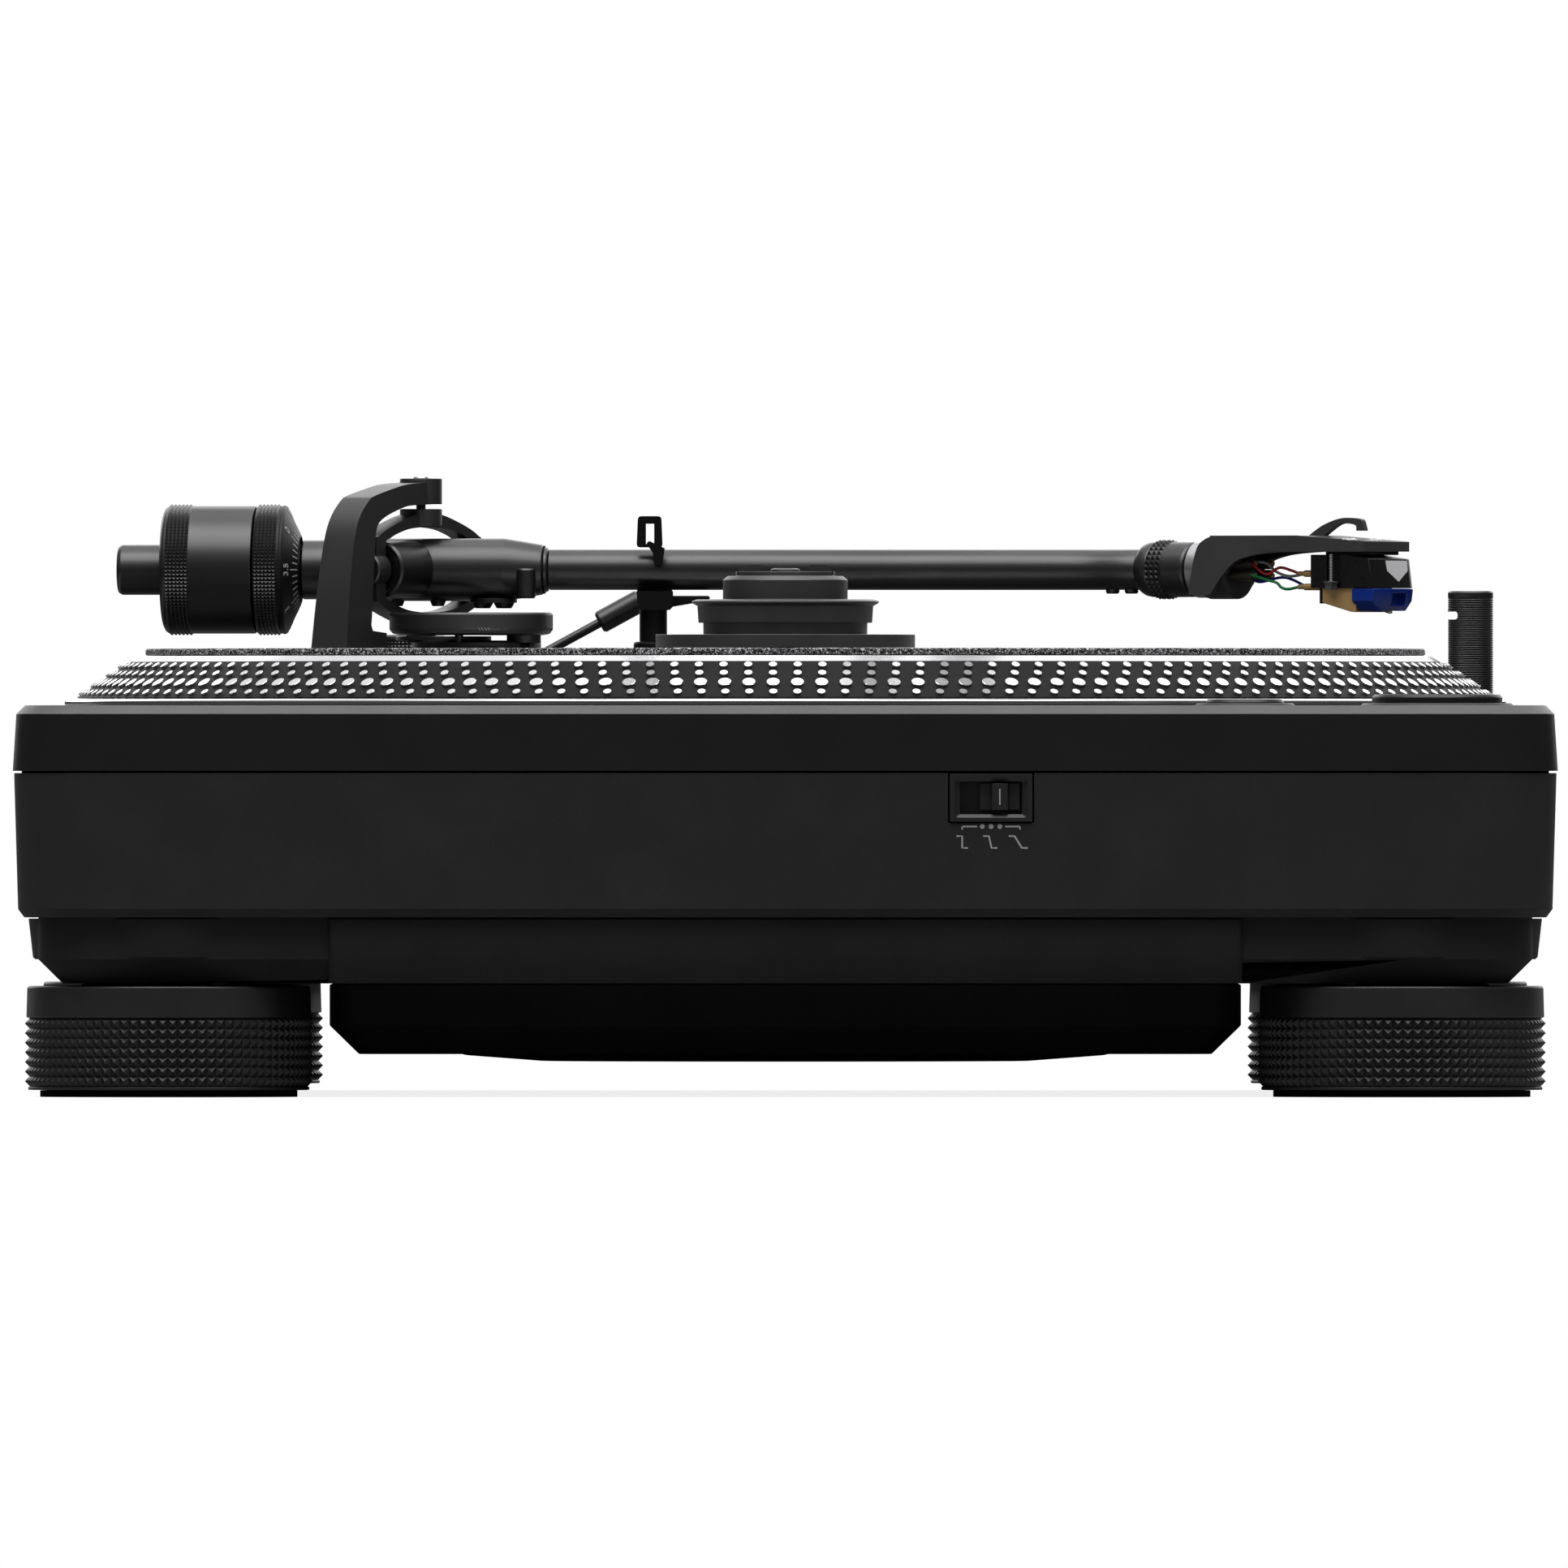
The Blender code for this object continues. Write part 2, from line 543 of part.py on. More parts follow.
def in_arch_plane(along, up, across):
    """World point from the skewed upright plane that the yoke and the gimbal ring lie in."""
    return PIVOT + TILT_AXIS * along + SHELL_AXIS * across + UP * up


def gimbal_yoke():
    outer = [
        (0.0384, -0.0187), (0.0356, 0.0), (0.0337, 0.0082), (0.0311, 0.0133), (0.0264, 0.0166), (0.0220, 0.0180),
        (0.0115, 0.0198), (0.0, 0.0206),
    ]
    inner = [
        (0.0, 0.0153), (0.0090, 0.0150), (0.0135, 0.0144), (0.0205, 0.0124), (0.0240, 0.0104), (0.0252, 0.0071),
        (0.0262, 0.0), (0.0272, -0.0090), (0.0280, -0.0135), (0.0215, -0.0145), (0.0215, -0.0187),
    ]
    yoke = prism("gimbal_yoke", outer + inner, -0.0041, 0.0041, ARM_BLACK, in_arch_plane)
    block = rod("yoke_block", 0.00493, 0.1369, 0.1429, at=(PIVOT.x, PIVOT.y, 0), steps=24)
    cap = rod("yoke_cap", 0.0012, 0.1420, 0.1433, at=(PIVOT.x, PIVOT.y, 0), steps=12)
    socket = rod("yoke_socket", 0.0014, 0.1300, 0.1390, at=(PIVOT.x, PIVOT.y, 0), steps=14)
    join(yoke, block, cap)
    cut(yoke, socket)


def gimbal_ring():
    side = [(0.0221, 0.0), (0.0221, 0.0066), (0.0205, 0.0078), (0.0170, 0.0095), (0.0113, 0.0114), (0.0054, 0.0128)]
    hole = [(0.0181, 0.0), (0.0181, 0.0065), (0.0139, 0.0083), (0.0089, 0.0094), (0.0035, 0.0099)]

    def all_round(quarter):
        top = quarter + [(-x, z) for x, z in reversed(quarter)]
        return top + [(x, -z) for x, z in reversed(top[1:-1])]

    frame = prism("gimbal_ring", all_round(side), -0.0024, 0.0024, ARM_BLACK, in_arch_plane)
    cut(frame, prism("ring_window", all_round(hole), -0.010, 0.010, None, in_arch_plane))
    at = (PIVOT.x, PIVOT.y, 0)
    top = rod("ring_top_boss", 0.00493, 0.1318, 0.1358, at=at, steps=24)
    bottom = rod("ring_bottom_boss", 0.00493, 0.1074, 0.1114, at=at, steps=24)
    pin = rod("ring_pin", 0.0011, 0.1340, 0.1386, at=at, steps=12)
    join(frame, top, bottom, pin)
    for side_sign in (-1, 1):
        axis = TILT_AXIS * side_sign
        join(frame, rod(f"ring_side_boss_{side_sign + 1}", 0.0040, 0.0179, 0.0232, at=PIVOT, axis=axis, steps=14))


def arm_housing():
    """The bearing housing along the tube with its cross barrel and its rear shaft."""
    housing = turned("arm_housing", [
        (0, 0.0300), (0.0051, 0.0300), (0.0057, 0.0294), (0.0073, 0.0204), (0.0073, -0.0140), (0.0069, -0.0145),
        (0.0069, -0.0275), (0.00585, -0.0278), (0.00585, -0.0700), (0.0053, -0.0709), (0, -0.0709),
    ], ARM_BLACK, at=PIVOT, axis=-REAR, steps=20)
    for side_sign in (-1, 1):
        barrel = turned(f"cross_barrel_{side_sign + 1}", [
            (0, 0.0174), (0.0061, 0.0174), (0.0066, 0.0168), (0.0066, 0), (0, 0),
        ], at=PIVOT, axis=TILT_AXIS * side_sign, steps=16)
        join(housing, barrel)
    for number, along in enumerate((0.0145, 0.0195)):
        point = PIVOT - REAR * along
        join(housing, rod(f"housing_screw_{number}", 0.0020, 0.1127, 0.1165, at=(point.x, point.y, 0), steps=12))


def tube_route():
    xy = (
        (0.1484, 0.0549), (0.1472, 0.0420), (0.1462, 0.0300), (0.1456, 0.0170), (0.1464, 0.0020), (0.1488, -0.0150),
        (0.1512, -0.0300), (0.1522, -0.0440), (0.1513, -0.0570), (0.1486, -0.0700), (0.1444, -0.0796),
    )
    points = [Vector((x, y, PIVOT.z)) for x, y in xy]
    return smooth_through([*points, COLLAR_REAR], 2)


def arm_tube():
    tube("arm_tube", tube_route(), TUBE_R, ARM_BLACK)


def rear_fittings():
    turned("weight_bush", [
        (0.0062, 0.0330), (0.0082, 0.0330), (0.0082, 0.0590), (0.0062, 0.0590),
    ][::-1], PLASTIC, at=PIVOT, axis=REAR, steps=24, closed=True)
    turned("counterweight", [
        (0.0085, 0.0602), (0.0140, 0.0602), (0.01525, 0.0590), (0.01525, 0.0540), (0.0149, 0.0535),
        (0.0149, 0.0386), (0.0085, 0.0386),
    ], ARM_BLACK, at=PIVOT, axis=REAR, steps=24, closed=True)
    turned("force_dial", [
        (0.0085, 0.0382), (0.0150, 0.0382), (0.01525, 0.0379), (0.01525, 0.0320), (0.0150, 0.0313), (0.0085, 0.0282),
    ], PLASTIC, at=PIVOT, axis=REAR, steps=24, closed=True)


def headshell_collar():
    """A locking nut round the end of the tube, open through its middle."""
    turned("headshell_collar", [
        (0.0051, COLLAR_LENGTH), (0.0069, COLLAR_LENGTH), (0.0069, 0.0045), (0.00645, 0.0040), (0.00645, 0.0014),
        (0.0058, 0.0),
        (0.0051, 0.0),
    ], ARM_BLACK, at=COLLAR_REAR, axis=SHELL_AXIS, steps=18, closed=True)


def on_shell(along, side, up):
    """World point from the headshell's own directions: along it, to its left, and height."""
    return SHELL_DATUM + SHELL_AXIS * along + TILT_AXIS * side + UP * (up - SHELL_DATUM.z)


def shell_box(name, low, high, mat=None):
    outline = [(low[0], low[1]), (high[0], low[1]), (high[0], high[1]), (low[0], high[1])]
    return prism(name, outline, low[2], high[2], mat, on_shell)


def headshell():
    half = 0.0090
    shell = prism("headshell", [
        (0.0108, -half), (0.0500, -half), (0.0545, -0.0050), (0.0545, 0.0050), (0.0500, half), (0.0108, half),
    ], 0.1268, 0.1293, ARM_BLACK, on_shell)
    cheek = [
        (0.0053, 0.1156), (0.0098, 0.1156), (0.0143, 0.1205), (0.0224, 0.1248), (0.0343, 0.1257), (0.0343, 0.1275),
        (0.0116, 0.1290), (0.0080, 0.1272),
    ]
    for number, side in enumerate((0.0001 - half, half - 0.0017)):
        def upright(along, up, across, start=side):
            return on_shell(along, start + across, up)
        join(shell, prism(f"cheek_{number}", cheek, 0, 0.0016, None, upright))
    root = turned("shell_root", [
        (0, 0.0150), (0.0070, 0.0150), (0.0070, 0.0045), (0.0058, 0.0026), (0.0046, 0.0024), (0.0046, -0.0060),
        (0, -0.0060),
    ], at=SHELL_DATUM, axis=SHELL_AXIS, steps=16)
    web = shell_box("root_web", (0.0070, -0.0030, 0.1230), (0.0140, 0.0030, 0.1280))
    lift = [(0.0292, 0.1285), (0.0362, 0.1335), (0.0412, 0.1336), (0.0442, 0.1310), (0.0442, 0.1303),
            (0.0407, 0.1324), (0.0367, 0.1323), (0.0322, 0.1285)]
    finger = prism("finger_lift", lift, -0.0087, -0.0060, None, lambda a, u, s: on_shell(a, s, u))
    join(shell, root, web, finger)
    for number, (side, up) in enumerate(((0.0037, 0.1230), (0.0037, 0.1202), (-0.0037, 0.1230), (-0.0037, 0.1202))):
        join(shell, rod(f"terminal_{number}", 0.0013, 0.0140, 0.0196, at=on_shell(0, side, up), axis=SHELL_AXIS,
                        steps=10))


def cartridge():
    body = shell_box("cartridge_body", (0.0394, -0.0085, 0.1172), (0.0573, 0.0085, 0.1251), PLASTIC)
    for number, (side, up) in enumerate(((0.0045, 0.1206), (0.0015, 0.1206), (0.0045, 0.1177), (0.0015, 0.1177))):
        join(body, rod(f"pin_{number}", 0.0008, 0.0342, 0.0410, at=on_shell(0, side, up), axis=SHELL_AXIS, steps=10))
    shell_box("cartridge_bracket", (0.0422, -0.0082, 0.1118), (0.0505, 0.0082, 0.1169), GOLD)
    guard = shell_box("stylus_guard", (0.0508, -0.0080, 0.1121), (0.0571, 0.0080, 0.1169), BLUE)
    cut(guard, shell_box("guard_recess", (0.0560, -0.0018, 0.1132), (0.0600, 0.0018, 0.1160)))
    join(guard, rod("stylus_tip", 0.0003, 0.1112, 0.1130, at=on_shell(0.0555, 0, 0), steps=8))
    screw_at = on_shell(0.0455, 0.0105, 0)
    screw = rod("mount_screw", 0.00045, 0.1165, 0.1252, GOLD, at=screw_at, steps=10)
    nut = rod("screw_nut", 0.0016, 0.1165, 0.1187, at=screw_at, steps=12)
    join(screw, nut)


def lead_wires():
    """Four thin leads from the headshell's terminals to the cartridge pins, each along its own droop."""
    routes = {
        "red": (
            (0.0203, 0.0045, 0.1231), (0.0246, 0.0047, 0.1205), (0.0282, 0.0046, 0.1220), (0.0316, 0.0045, 0.1213),
            (0.0336, 0.0045, 0.1206),
        ),
        "white": (
            (0.0205, 0.0024, 0.1234), (0.0234, 0.0026, 0.1230), (0.0262, 0.0027, 0.1210), (0.0298, 0.0026, 0.1200),
            (0.0336, 0.0015, 0.1206),
        ),
        "blue": (
            (0.0176, 0.0012, 0.1199), (0.0205, 0.0012, 0.1187), (0.0262, 0.0012, 0.1197), (0.0294, 0.0013, 0.1193),
            (0.0336, 0.0015, 0.1176),
        ),
        "green": (
            (0.0203, 0.0046, 0.1204), (0.0246, 0.0047, 0.1192), (0.0274, 0.0046, 0.1185), (0.0287, 0.0045, 0.1174),
            (0.0305, 0.0044, 0.1170), (0.0336, 0.0045, 0.1175),
        ),
    }
    for colour, route in routes.items():
        wire = material(f"wire_{colour}", WIRE_COLOURS[colour], 0.5)
        points = smooth_through([on_shell(*point) for point in route], 2)
        tube(f"lead_wire_{colour}", points, 0.00045, wire)


def shade_smooth_with_edges():
    for obj in PARTS.objects:
        if obj.type == "MESH" and not obj.modifiers:
            obj.data.shade_smooth()
            obj.data.set_sharp_from_angle(angle=math.radians(30))


top_plate()
lower_body()
bottom_tray()
motor_cover()
feet()
platter()
record_clamp()
motor()
electronics()
controls()
brake_switch()
stylus_light()
arm_base()
arm_platform()
lift_bar()
cue_lever()
arm_rest()
arm_clip()
gimbal_yoke()
gimbal_ring()
arm_housing()
arm_tube()
rear_fittings()
headshell_collar()
headshell()
cartridge()
lead_wires()
shade_smooth_with_edges()
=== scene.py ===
"""Looks of a direct-drive turntable record player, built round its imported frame.

Metres, +Z up, -Y the front where the user stands, +X the tonearm side. Round pieces are turned profiles, flat
ones are outlines with a thickness, and each helper below leaves one closed mesh.
"""

import math
import random

import bmesh
import bpy
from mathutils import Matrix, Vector


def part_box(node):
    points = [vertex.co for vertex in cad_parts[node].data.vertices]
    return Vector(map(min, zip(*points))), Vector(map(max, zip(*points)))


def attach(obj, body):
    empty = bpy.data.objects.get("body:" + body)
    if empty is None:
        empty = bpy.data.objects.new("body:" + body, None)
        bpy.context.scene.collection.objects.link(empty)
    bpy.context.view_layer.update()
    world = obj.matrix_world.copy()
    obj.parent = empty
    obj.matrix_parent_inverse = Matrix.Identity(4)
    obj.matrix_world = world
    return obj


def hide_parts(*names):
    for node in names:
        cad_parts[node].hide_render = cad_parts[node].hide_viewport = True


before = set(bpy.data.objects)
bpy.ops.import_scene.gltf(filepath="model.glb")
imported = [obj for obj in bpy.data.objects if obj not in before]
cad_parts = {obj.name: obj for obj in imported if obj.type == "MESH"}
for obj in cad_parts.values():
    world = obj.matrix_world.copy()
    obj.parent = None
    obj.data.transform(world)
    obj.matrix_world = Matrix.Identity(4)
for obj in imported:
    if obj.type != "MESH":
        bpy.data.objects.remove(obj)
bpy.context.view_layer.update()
random.seed(7)

UP = Vector((0, 0, 1))
DECK_LOW, DECK_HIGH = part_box("top_plate")
BODY_LOW, BODY_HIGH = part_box("lower_body")
TRAY_LOW, TRAY_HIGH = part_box("bottom_tray")
TRAY_HALF_X = 0.2207
TRAY_HALF_Y = 0.1708
LEDGE_HALF_X = 0.2223
CORNER_R = 0.014
SEAM_DEPTH = 0.002
DECK_TOP = DECK_HIGH.z


def middle(node):
    """The upright axis through the middle of a node's box, as a point on the floor."""
    low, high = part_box(node)
    return Vector(((low.x + high.x) / 2, (low.y + high.y) / 2, 0))


PLATTER = middle("platter")
START = middle("start_stop_button")
POWER = middle("power_button")
SPEED = {"33": middle("speed_button_33"), "45": middle("speed_button_45")}
FADER = middle("pitch_fader_plate")
LIGHT = middle("light_post")
KNOB = middle("anti_skate_knob")
PIVOT = Vector((0.151, 0.08505, 0.1216))
REST = Vector((0.1463, 0.0308, 0))
LEVER = Vector((0.1875, 0.062, 0.0992))
TUBE_LEAN = math.radians(5.0)
OFFSET_ANGLE = math.radians(33.7)
COLLAR_REAR = Vector((0.1431, -0.0836, PIVOT.z))
SHELL_DATUM = Vector((0.1360, -0.0942, PIVOT.z))
NUT_LENGTH = 0.0148
REAR = Vector((math.sin(TUBE_LEAN), math.cos(TUBE_LEAN), 0))
TILT_AXIS = Vector((-math.cos(OFFSET_ANGLE), math.sin(OFFSET_ANGLE), 0))
SHELL_AXIS = Vector((-math.sin(OFFSET_ANGLE), -math.cos(OFFSET_ANGLE), 0))
FEET = ("front_left", "rear_left", "front_right", "rear_right")
BRAKE_Y = -0.047
TUBE_R = 0.00472
BODY_CHAMFER = 0.0019
BODY_DRAFT = 0.0009
SPINDLE_BORE = 0.0043
LIFT_RADIUS = 0.0255
WEIGHT_RADIUS = 0.0149
DIAL_INNER = (0.0078, 0.0280)
DIAL_OUTER = (0.0148, 0.0313)
SLEEVE_BORE = 0.0056
PIVOT_BOSS_RADIUS = 0.00493
MARK_LIFT = 0.00003
MARK_DEPTH = 0.0004


# ---------------------------------------------------------------- materials

def grey(value):
    return (value, value, value * 1.02)


def surface(name, colour, roughness, metallic=0.0, vary=0.12, patch=60, grain=2500, bump=0.08, wander=0.05,
            shine=0.5):
    """A finish with soft patches of colour, a fine grain in its relief and an uneven gloss."""
    made = bpy.data.materials.new(name)
    made.use_nodes = True
    nodes = made.node_tree.nodes
    link = made.node_tree.links.new
    shader = nodes["Principled BSDF"]
    shader.inputs["Metallic"].default_value = metallic
    shader.inputs["Specular IOR Level"].default_value = shine
    place = nodes.new("ShaderNodeTexCoord").outputs["Object"]
    patches = noise(made, place, patch, 3)
    fine = noise(made, place, grain, 2)
    ramp = nodes.new("ShaderNodeValToRGB")
    ramp.color_ramp.elements[0].position = 0.3
    ramp.color_ramp.elements[1].position = 0.7
    ramp.color_ramp.elements[0].color = (*[c * (1 - vary) for c in colour], 1)
    ramp.color_ramp.elements[1].color = (*[min(1, c * (1 + vary)) for c in colour], 1)
    link(patches, ramp.inputs["Fac"])
    link(ramp.outputs["Color"], shader.inputs["Base Color"])
    gloss = nodes.new("ShaderNodeMapRange")
    gloss.inputs["To Min"].default_value = max(0.02, roughness - wander)
    gloss.inputs["To Max"].default_value = min(1, roughness + wander)
    link(fine, gloss.inputs["Value"])
    link(gloss.outputs["Result"], shader.inputs["Roughness"])
    relief = nodes.new("ShaderNodeBump")
    relief.inputs["Strength"].default_value = bump
    relief.inputs["Distance"].default_value = 0.0002
    link(fine, relief.inputs["Height"])
    link(relief.outputs["Normal"], shader.inputs["Normal"])
    return made


def noise(mat, place, scale, detail):
    texture = mat.node_tree.nodes.new("ShaderNodeTexNoise")
    texture.inputs["Scale"].default_value = scale
    texture.inputs["Detail"].default_value = detail
    mat.node_tree.links.new(place, texture.inputs["Vector"])
    return texture.outputs["Fac"]


def lathe_marks(mat, centre, spacing, strength):
    """Fine rings round an upright axis in a finish's relief, as turning leaves them."""
    nodes = mat.node_tree.nodes
    link = mat.node_tree.links.new
    shift = nodes.new("ShaderNodeVectorMath")
    shift.operation = "SUBTRACT"
    shift.inputs[1].default_value = centre
    rings = nodes.new("ShaderNodeTexWave")
    rings.wave_type = "RINGS"
    rings.rings_direction = "Z"
    rings.inputs["Scale"].default_value = 0.3 / spacing
    rings.inputs["Distortion"].default_value = 0.6
    marks = nodes.new("ShaderNodeBump")
    marks.inputs["Strength"].default_value = strength
    marks.inputs["Distance"].default_value = 0.0001
    first = next(n for n in nodes if n.type == "BUMP")
    link(nodes["Texture Coordinate"].outputs["Object"], shift.inputs[0])
    link(shift.outputs["Vector"], rings.inputs["Vector"])
    link(rings.outputs["Fac"], marks.inputs["Height"])
    link(first.outputs["Normal"], marks.inputs["Normal"])
    link(marks.outputs["Normal"], nodes["Principled BSDF"].inputs["Normal"])
    return mat


def speckled(name, dark, light, scale):
    """Matted fibres: dark and light strands at the scale of a strand, and a rough relief."""
    made = surface(name, dark, 0.95, grain=scale, bump=0.45, wander=0.04)
    nodes = made.node_tree.nodes
    link = made.node_tree.links.new
    place = nodes["Texture Coordinate"].outputs["Object"]
    strands = nodes.new("ShaderNodeTexNoise")
    strands.inputs["Scale"].default_value = scale
    strands.inputs["Detail"].default_value = 4
    strands.inputs["Distortion"].default_value = 1.6
    ramp = nodes.new("ShaderNodeValToRGB")
    ramp.color_ramp.elements[0].position = 0.49
    ramp.color_ramp.elements[0].color = (*dark, 1)
    ramp.color_ramp.elements[1].position = 0.62
    ramp.color_ramp.elements[1].color = (*light, 1)
    middle_tone = ramp.color_ramp.elements.new(0.56)
    middle_tone.color = (*[0.8 * a + 0.2 * b for a, b in zip(dark, light)], 1)
    link(place, strands.inputs["Vector"])
    link(strands.outputs["Fac"], ramp.inputs["Fac"])
    link(ramp.outputs["Color"], nodes["Principled BSDF"].inputs["Base Color"])
    return made


DECK_BLACK = surface("deck_black", grey(0.010), 0.42, bump=0.06, grain=3000, shine=0.50)
# Painted highlight: a ten times lighter copy of the deck's black for the upward chamfer, standing in for the
# overhead light it catches.
DECK_CHAMFER_PAINTED_HIGHLIGHT = surface("deck_chamfer_painted_highlight", grey(0.10), 0.42, bump=0.06, grain=3000)
BODY_BLACK = surface("body_black", grey(0.032), 0.62, bump=0.12, grain=2200, shine=0.35)
BELLY_BLACK = surface("belly_black", grey(0.030), 0.70, bump=0.12, grain=2200, shine=0.2)
FOOT_BLACK = surface("foot_black", grey(0.085), 0.38, metallic=0.85, bump=0.04)
RUBBER = surface("rubber", grey(0.008), 0.85, bump=0.3, grain=1800, shine=0.2)
RIM_METAL = lathe_marks(surface(
    "rim_metal", grey(0.90), 0.16, 1.0, vary=0.03, bump=0.01
), PLATTER, 0.0004, 0.015)
DOT_METAL = surface("dot_metal", grey(0.90), 0.10, 1.0, vary=0.03, bump=0.0)
PLATTER_BLACK = surface("platter_black", grey(0.012), 0.55, bump=0.04, shine=0.12)
STEEL = surface("steel", grey(0.50), 0.28, 1.0, vary=0.06)
DULL_STEEL = surface("dull_steel", grey(0.20), 0.45, 0.9, vary=0.06)
BAYONET = surface("bayonet", grey(0.62), 0.32, 1.0, vary=0.05)
COPPER = surface("copper", (0.60, 0.28, 0.14), 0.4, 1.0)
BOARD_GREEN = surface("board_green", (0.02, 0.12, 0.05), 0.45, vary=0.3, patch=900)
FELT = speckled("felt", grey(0.003), grey(1.0), 1900)
CLAMP_GREY = lathe_marks(surface(
    "clamp_grey", grey(0.12), 0.42, 0.85, bump=0.10, grain=4500
), PLATTER, 0.0005, 0.04)
ARM_BLACK = surface("arm_black", grey(0.100), 0.34, 0.95, vary=0.05, bump=0.03, grain=4000)
YOKE_BLACK = surface("yoke_black", grey(0.125), 0.40, 0.90, vary=0.06, bump=0.05, grain=3500)
SHELL_BLACK = surface("shell_black", grey(0.060), 0.45, bump=0.05, grain=3500, shine=0.45)
HOLE_BLACK = surface("hole_black", grey(0.003), 0.8, shine=0.1)
PLASTIC = surface("plastic_black", grey(0.010), 0.45, bump=0.06, grain=2800, shine=0.4)
REST_BLACK = surface("rest_black", grey(0.003), 0.45, bump=0.05, grain=2800, shine=0.25)
GUARD_BLACK = surface("cartridge_black", grey(0.008), 0.28, bump=0.02, shine=0.4)
GOLD = surface("gold", (0.66, 0.42, 0.17), 0.36, 0.35, vary=0.08)
PIN_GOLD = surface("pin_gold", (0.80, 0.52, 0.20), 0.30, 0.7)
BLUE = surface("stylus_blue", (0.004, 0.035, 0.32), 0.20, bump=0.02, vary=0.15, patch=400)
SWITCH_BLACK = surface("switch_black", grey(0.030), 0.34, bump=0.03, shine=0.7)
# Painted light: the black bearing dish is given a lighter grey, standing in for the floor's light thrown up
# onto it.
DISH_PAINTED_FLOOR_LIGHT = surface("dish_painted_floor_light", grey(0.16), 0.5, bump=0.05)
LABEL = surface("label_silver", grey(0.92), 0.45, vary=0.04)
PRINT = surface("printed_grey", grey(0.60), 0.6, vary=0.05)
DIAL_WHITE = surface("printed_white", grey(0.60), 0.5, vary=0.05)
SHELL_INSULATOR = surface("terminal_block", (0.035, 0.030, 0.018), 0.35)
LAMP_GLASS = surface("lamp_lens", grey(0.80), 0.35, vary=0.03)
WIRES = {
    "red": surface("wire_red", (0.55, 0.015, 0.020), 0.4, bump=0.05),
    "white": surface("wire_grey", (0.50, 0.50, 0.52), 0.4, bump=0.05),
    "blue": surface("wire_blue", (0.015, 0.025, 0.50), 0.4, bump=0.05),
    "green": surface("wire_green", (0.006, 0.28, 0.08), 0.4, bump=0.05),
}


# ---------------------------------------------------------------- shapes

def settle(shape, name, mat, angle=30):
    """A closed bmesh as an object, smooth but for its edges."""
    shape.normal_update()
    bmesh.ops.recalc_face_normals(shape, faces=shape.faces)
    mesh = bpy.data.meshes.new(name)
    shape.to_mesh(mesh)
    shape.free()
    mesh.shade_smooth()
    mesh.set_sharp_from_angle(angle=math.radians(angle))
    made = bpy.data.objects.new(name, mesh)
    bpy.context.scene.collection.objects.link(made)
    if mat:
        mesh.materials.append(mat)
    return made


def even(made):
    """Normals weighted by face size, so that a small rounding doesn't shade the flat beside it."""
    weigh = made.modifiers.new("even", "WEIGHTED_NORMAL")
    weigh.keep_sharp = True
    weigh.weight = 100
    return made


def rounded(made, width, segments=3):
    """Rounds the sharp edges of a piece and weights its normals."""
    bevel = made.modifiers.new("rounded", "BEVEL")
    bevel.width = width
    bevel.segments = segments
    bevel.limit_method = "ANGLE"
    bevel.angle_limit = math.radians(32)
    bevel.use_clamp_overlap = True
    return even(made)


def soften(points, radius, closed=False, steps=3):
    """An outline with each corner rounded, as far as its neighbours leave room."""
    count = len(points)
    made = []
    for i, point in enumerate(points):
        here = Vector(point)
        if not closed and i in (0, count - 1):
            made.append(here)
            continue
        before = Vector(points[i - 1]) - here
        after = Vector(points[(i + 1) % count]) - here
        start = here + before.normalized() * min(radius, before.length * 0.4)
        end = here + after.normalized() * min(radius, after.length * 0.4)
        for step in range(steps + 1):
            t = step / steps
            made.append(start.lerp(here, t).lerp(here.lerp(end, t), t))
    return [tuple(p) for p in made]


def skin(shape, rows, around=True, looped=False):
    """Faces between rows of vertices, where a row may be one vertex repeated."""
    pairs = list(zip(rows, rows[1:]))
    if looped:
        pairs.append((rows[-1], rows[0]))
    for upper, lower in pairs:
        for i in range(len(upper) - (0 if around else 1)):
            j = (i + 1) % len(upper)
            corners = list(dict.fromkeys((upper[i], lower[i], lower[j], upper[j])))
            if len(corners) > 2:
                shape.faces.new(corners)


def lathe(name, profile, mat, at=(0, 0, 0), axis=UP, steps=96, closed=False, soft=0.00025, weigh=True):
    """A profile of (radius, height) points turned about an axis through a point."""
    turn = Vector(axis).to_track_quat("Z", "Y")
    at = Vector(at)
    shape = bmesh.new()
    rows = []
    for radius, height in soften(profile, soft, closed) if soft else profile:
        if radius < 1e-6:
            rows.append([shape.verts.new(at + turn @ Vector((0, 0, height)))] * steps)
            continue
        turns = [math.tau * i / steps for i in range(steps)]
        rows.append([
            shape.verts.new(at + turn @ Vector((radius * math.cos(a), radius * math.sin(a), height)))
            for a in turns
        ])
    skin(shape, rows, looped=closed)
    made = settle(shape, name, mat)
    return even(made) if weigh else made


def rod(name, radius, low, high, mat, at=(0, 0, 0), axis=UP, steps=48, soft=0.0002):
    return lathe(name, [(0, high), (radius, high), (radius, low), (0, low)], mat, at, axis, steps, soft=soft)


def plate(name, outline, low, high, mat, place=None, edge=0.0003):
    """A flat outline with a thickness, mapped into place by place(x, y, z)."""
    shape = bmesh.new()
    base = [shape.verts.new((x, y, low)) for x, y in outline]
    top = [shape.verts.new((x, y, high)) for x, y in outline]
    shape.faces.new(base)
    shape.faces.new(top)
    skin(shape, [top, base])
    if place:
        for vert in shape.verts:
            vert.co = place(*vert.co)
    made = settle(shape, name, mat)
    return rounded(made, edge) if edge else made


def block(name, low, high, mat, edge=0.0003, place=None):
    outline = [(low[0], low[1]), (high[0], low[1]), (high[0], high[1]), (low[0], high[1])]
    return plate(name, outline, low[2], high[2], mat, place, edge)


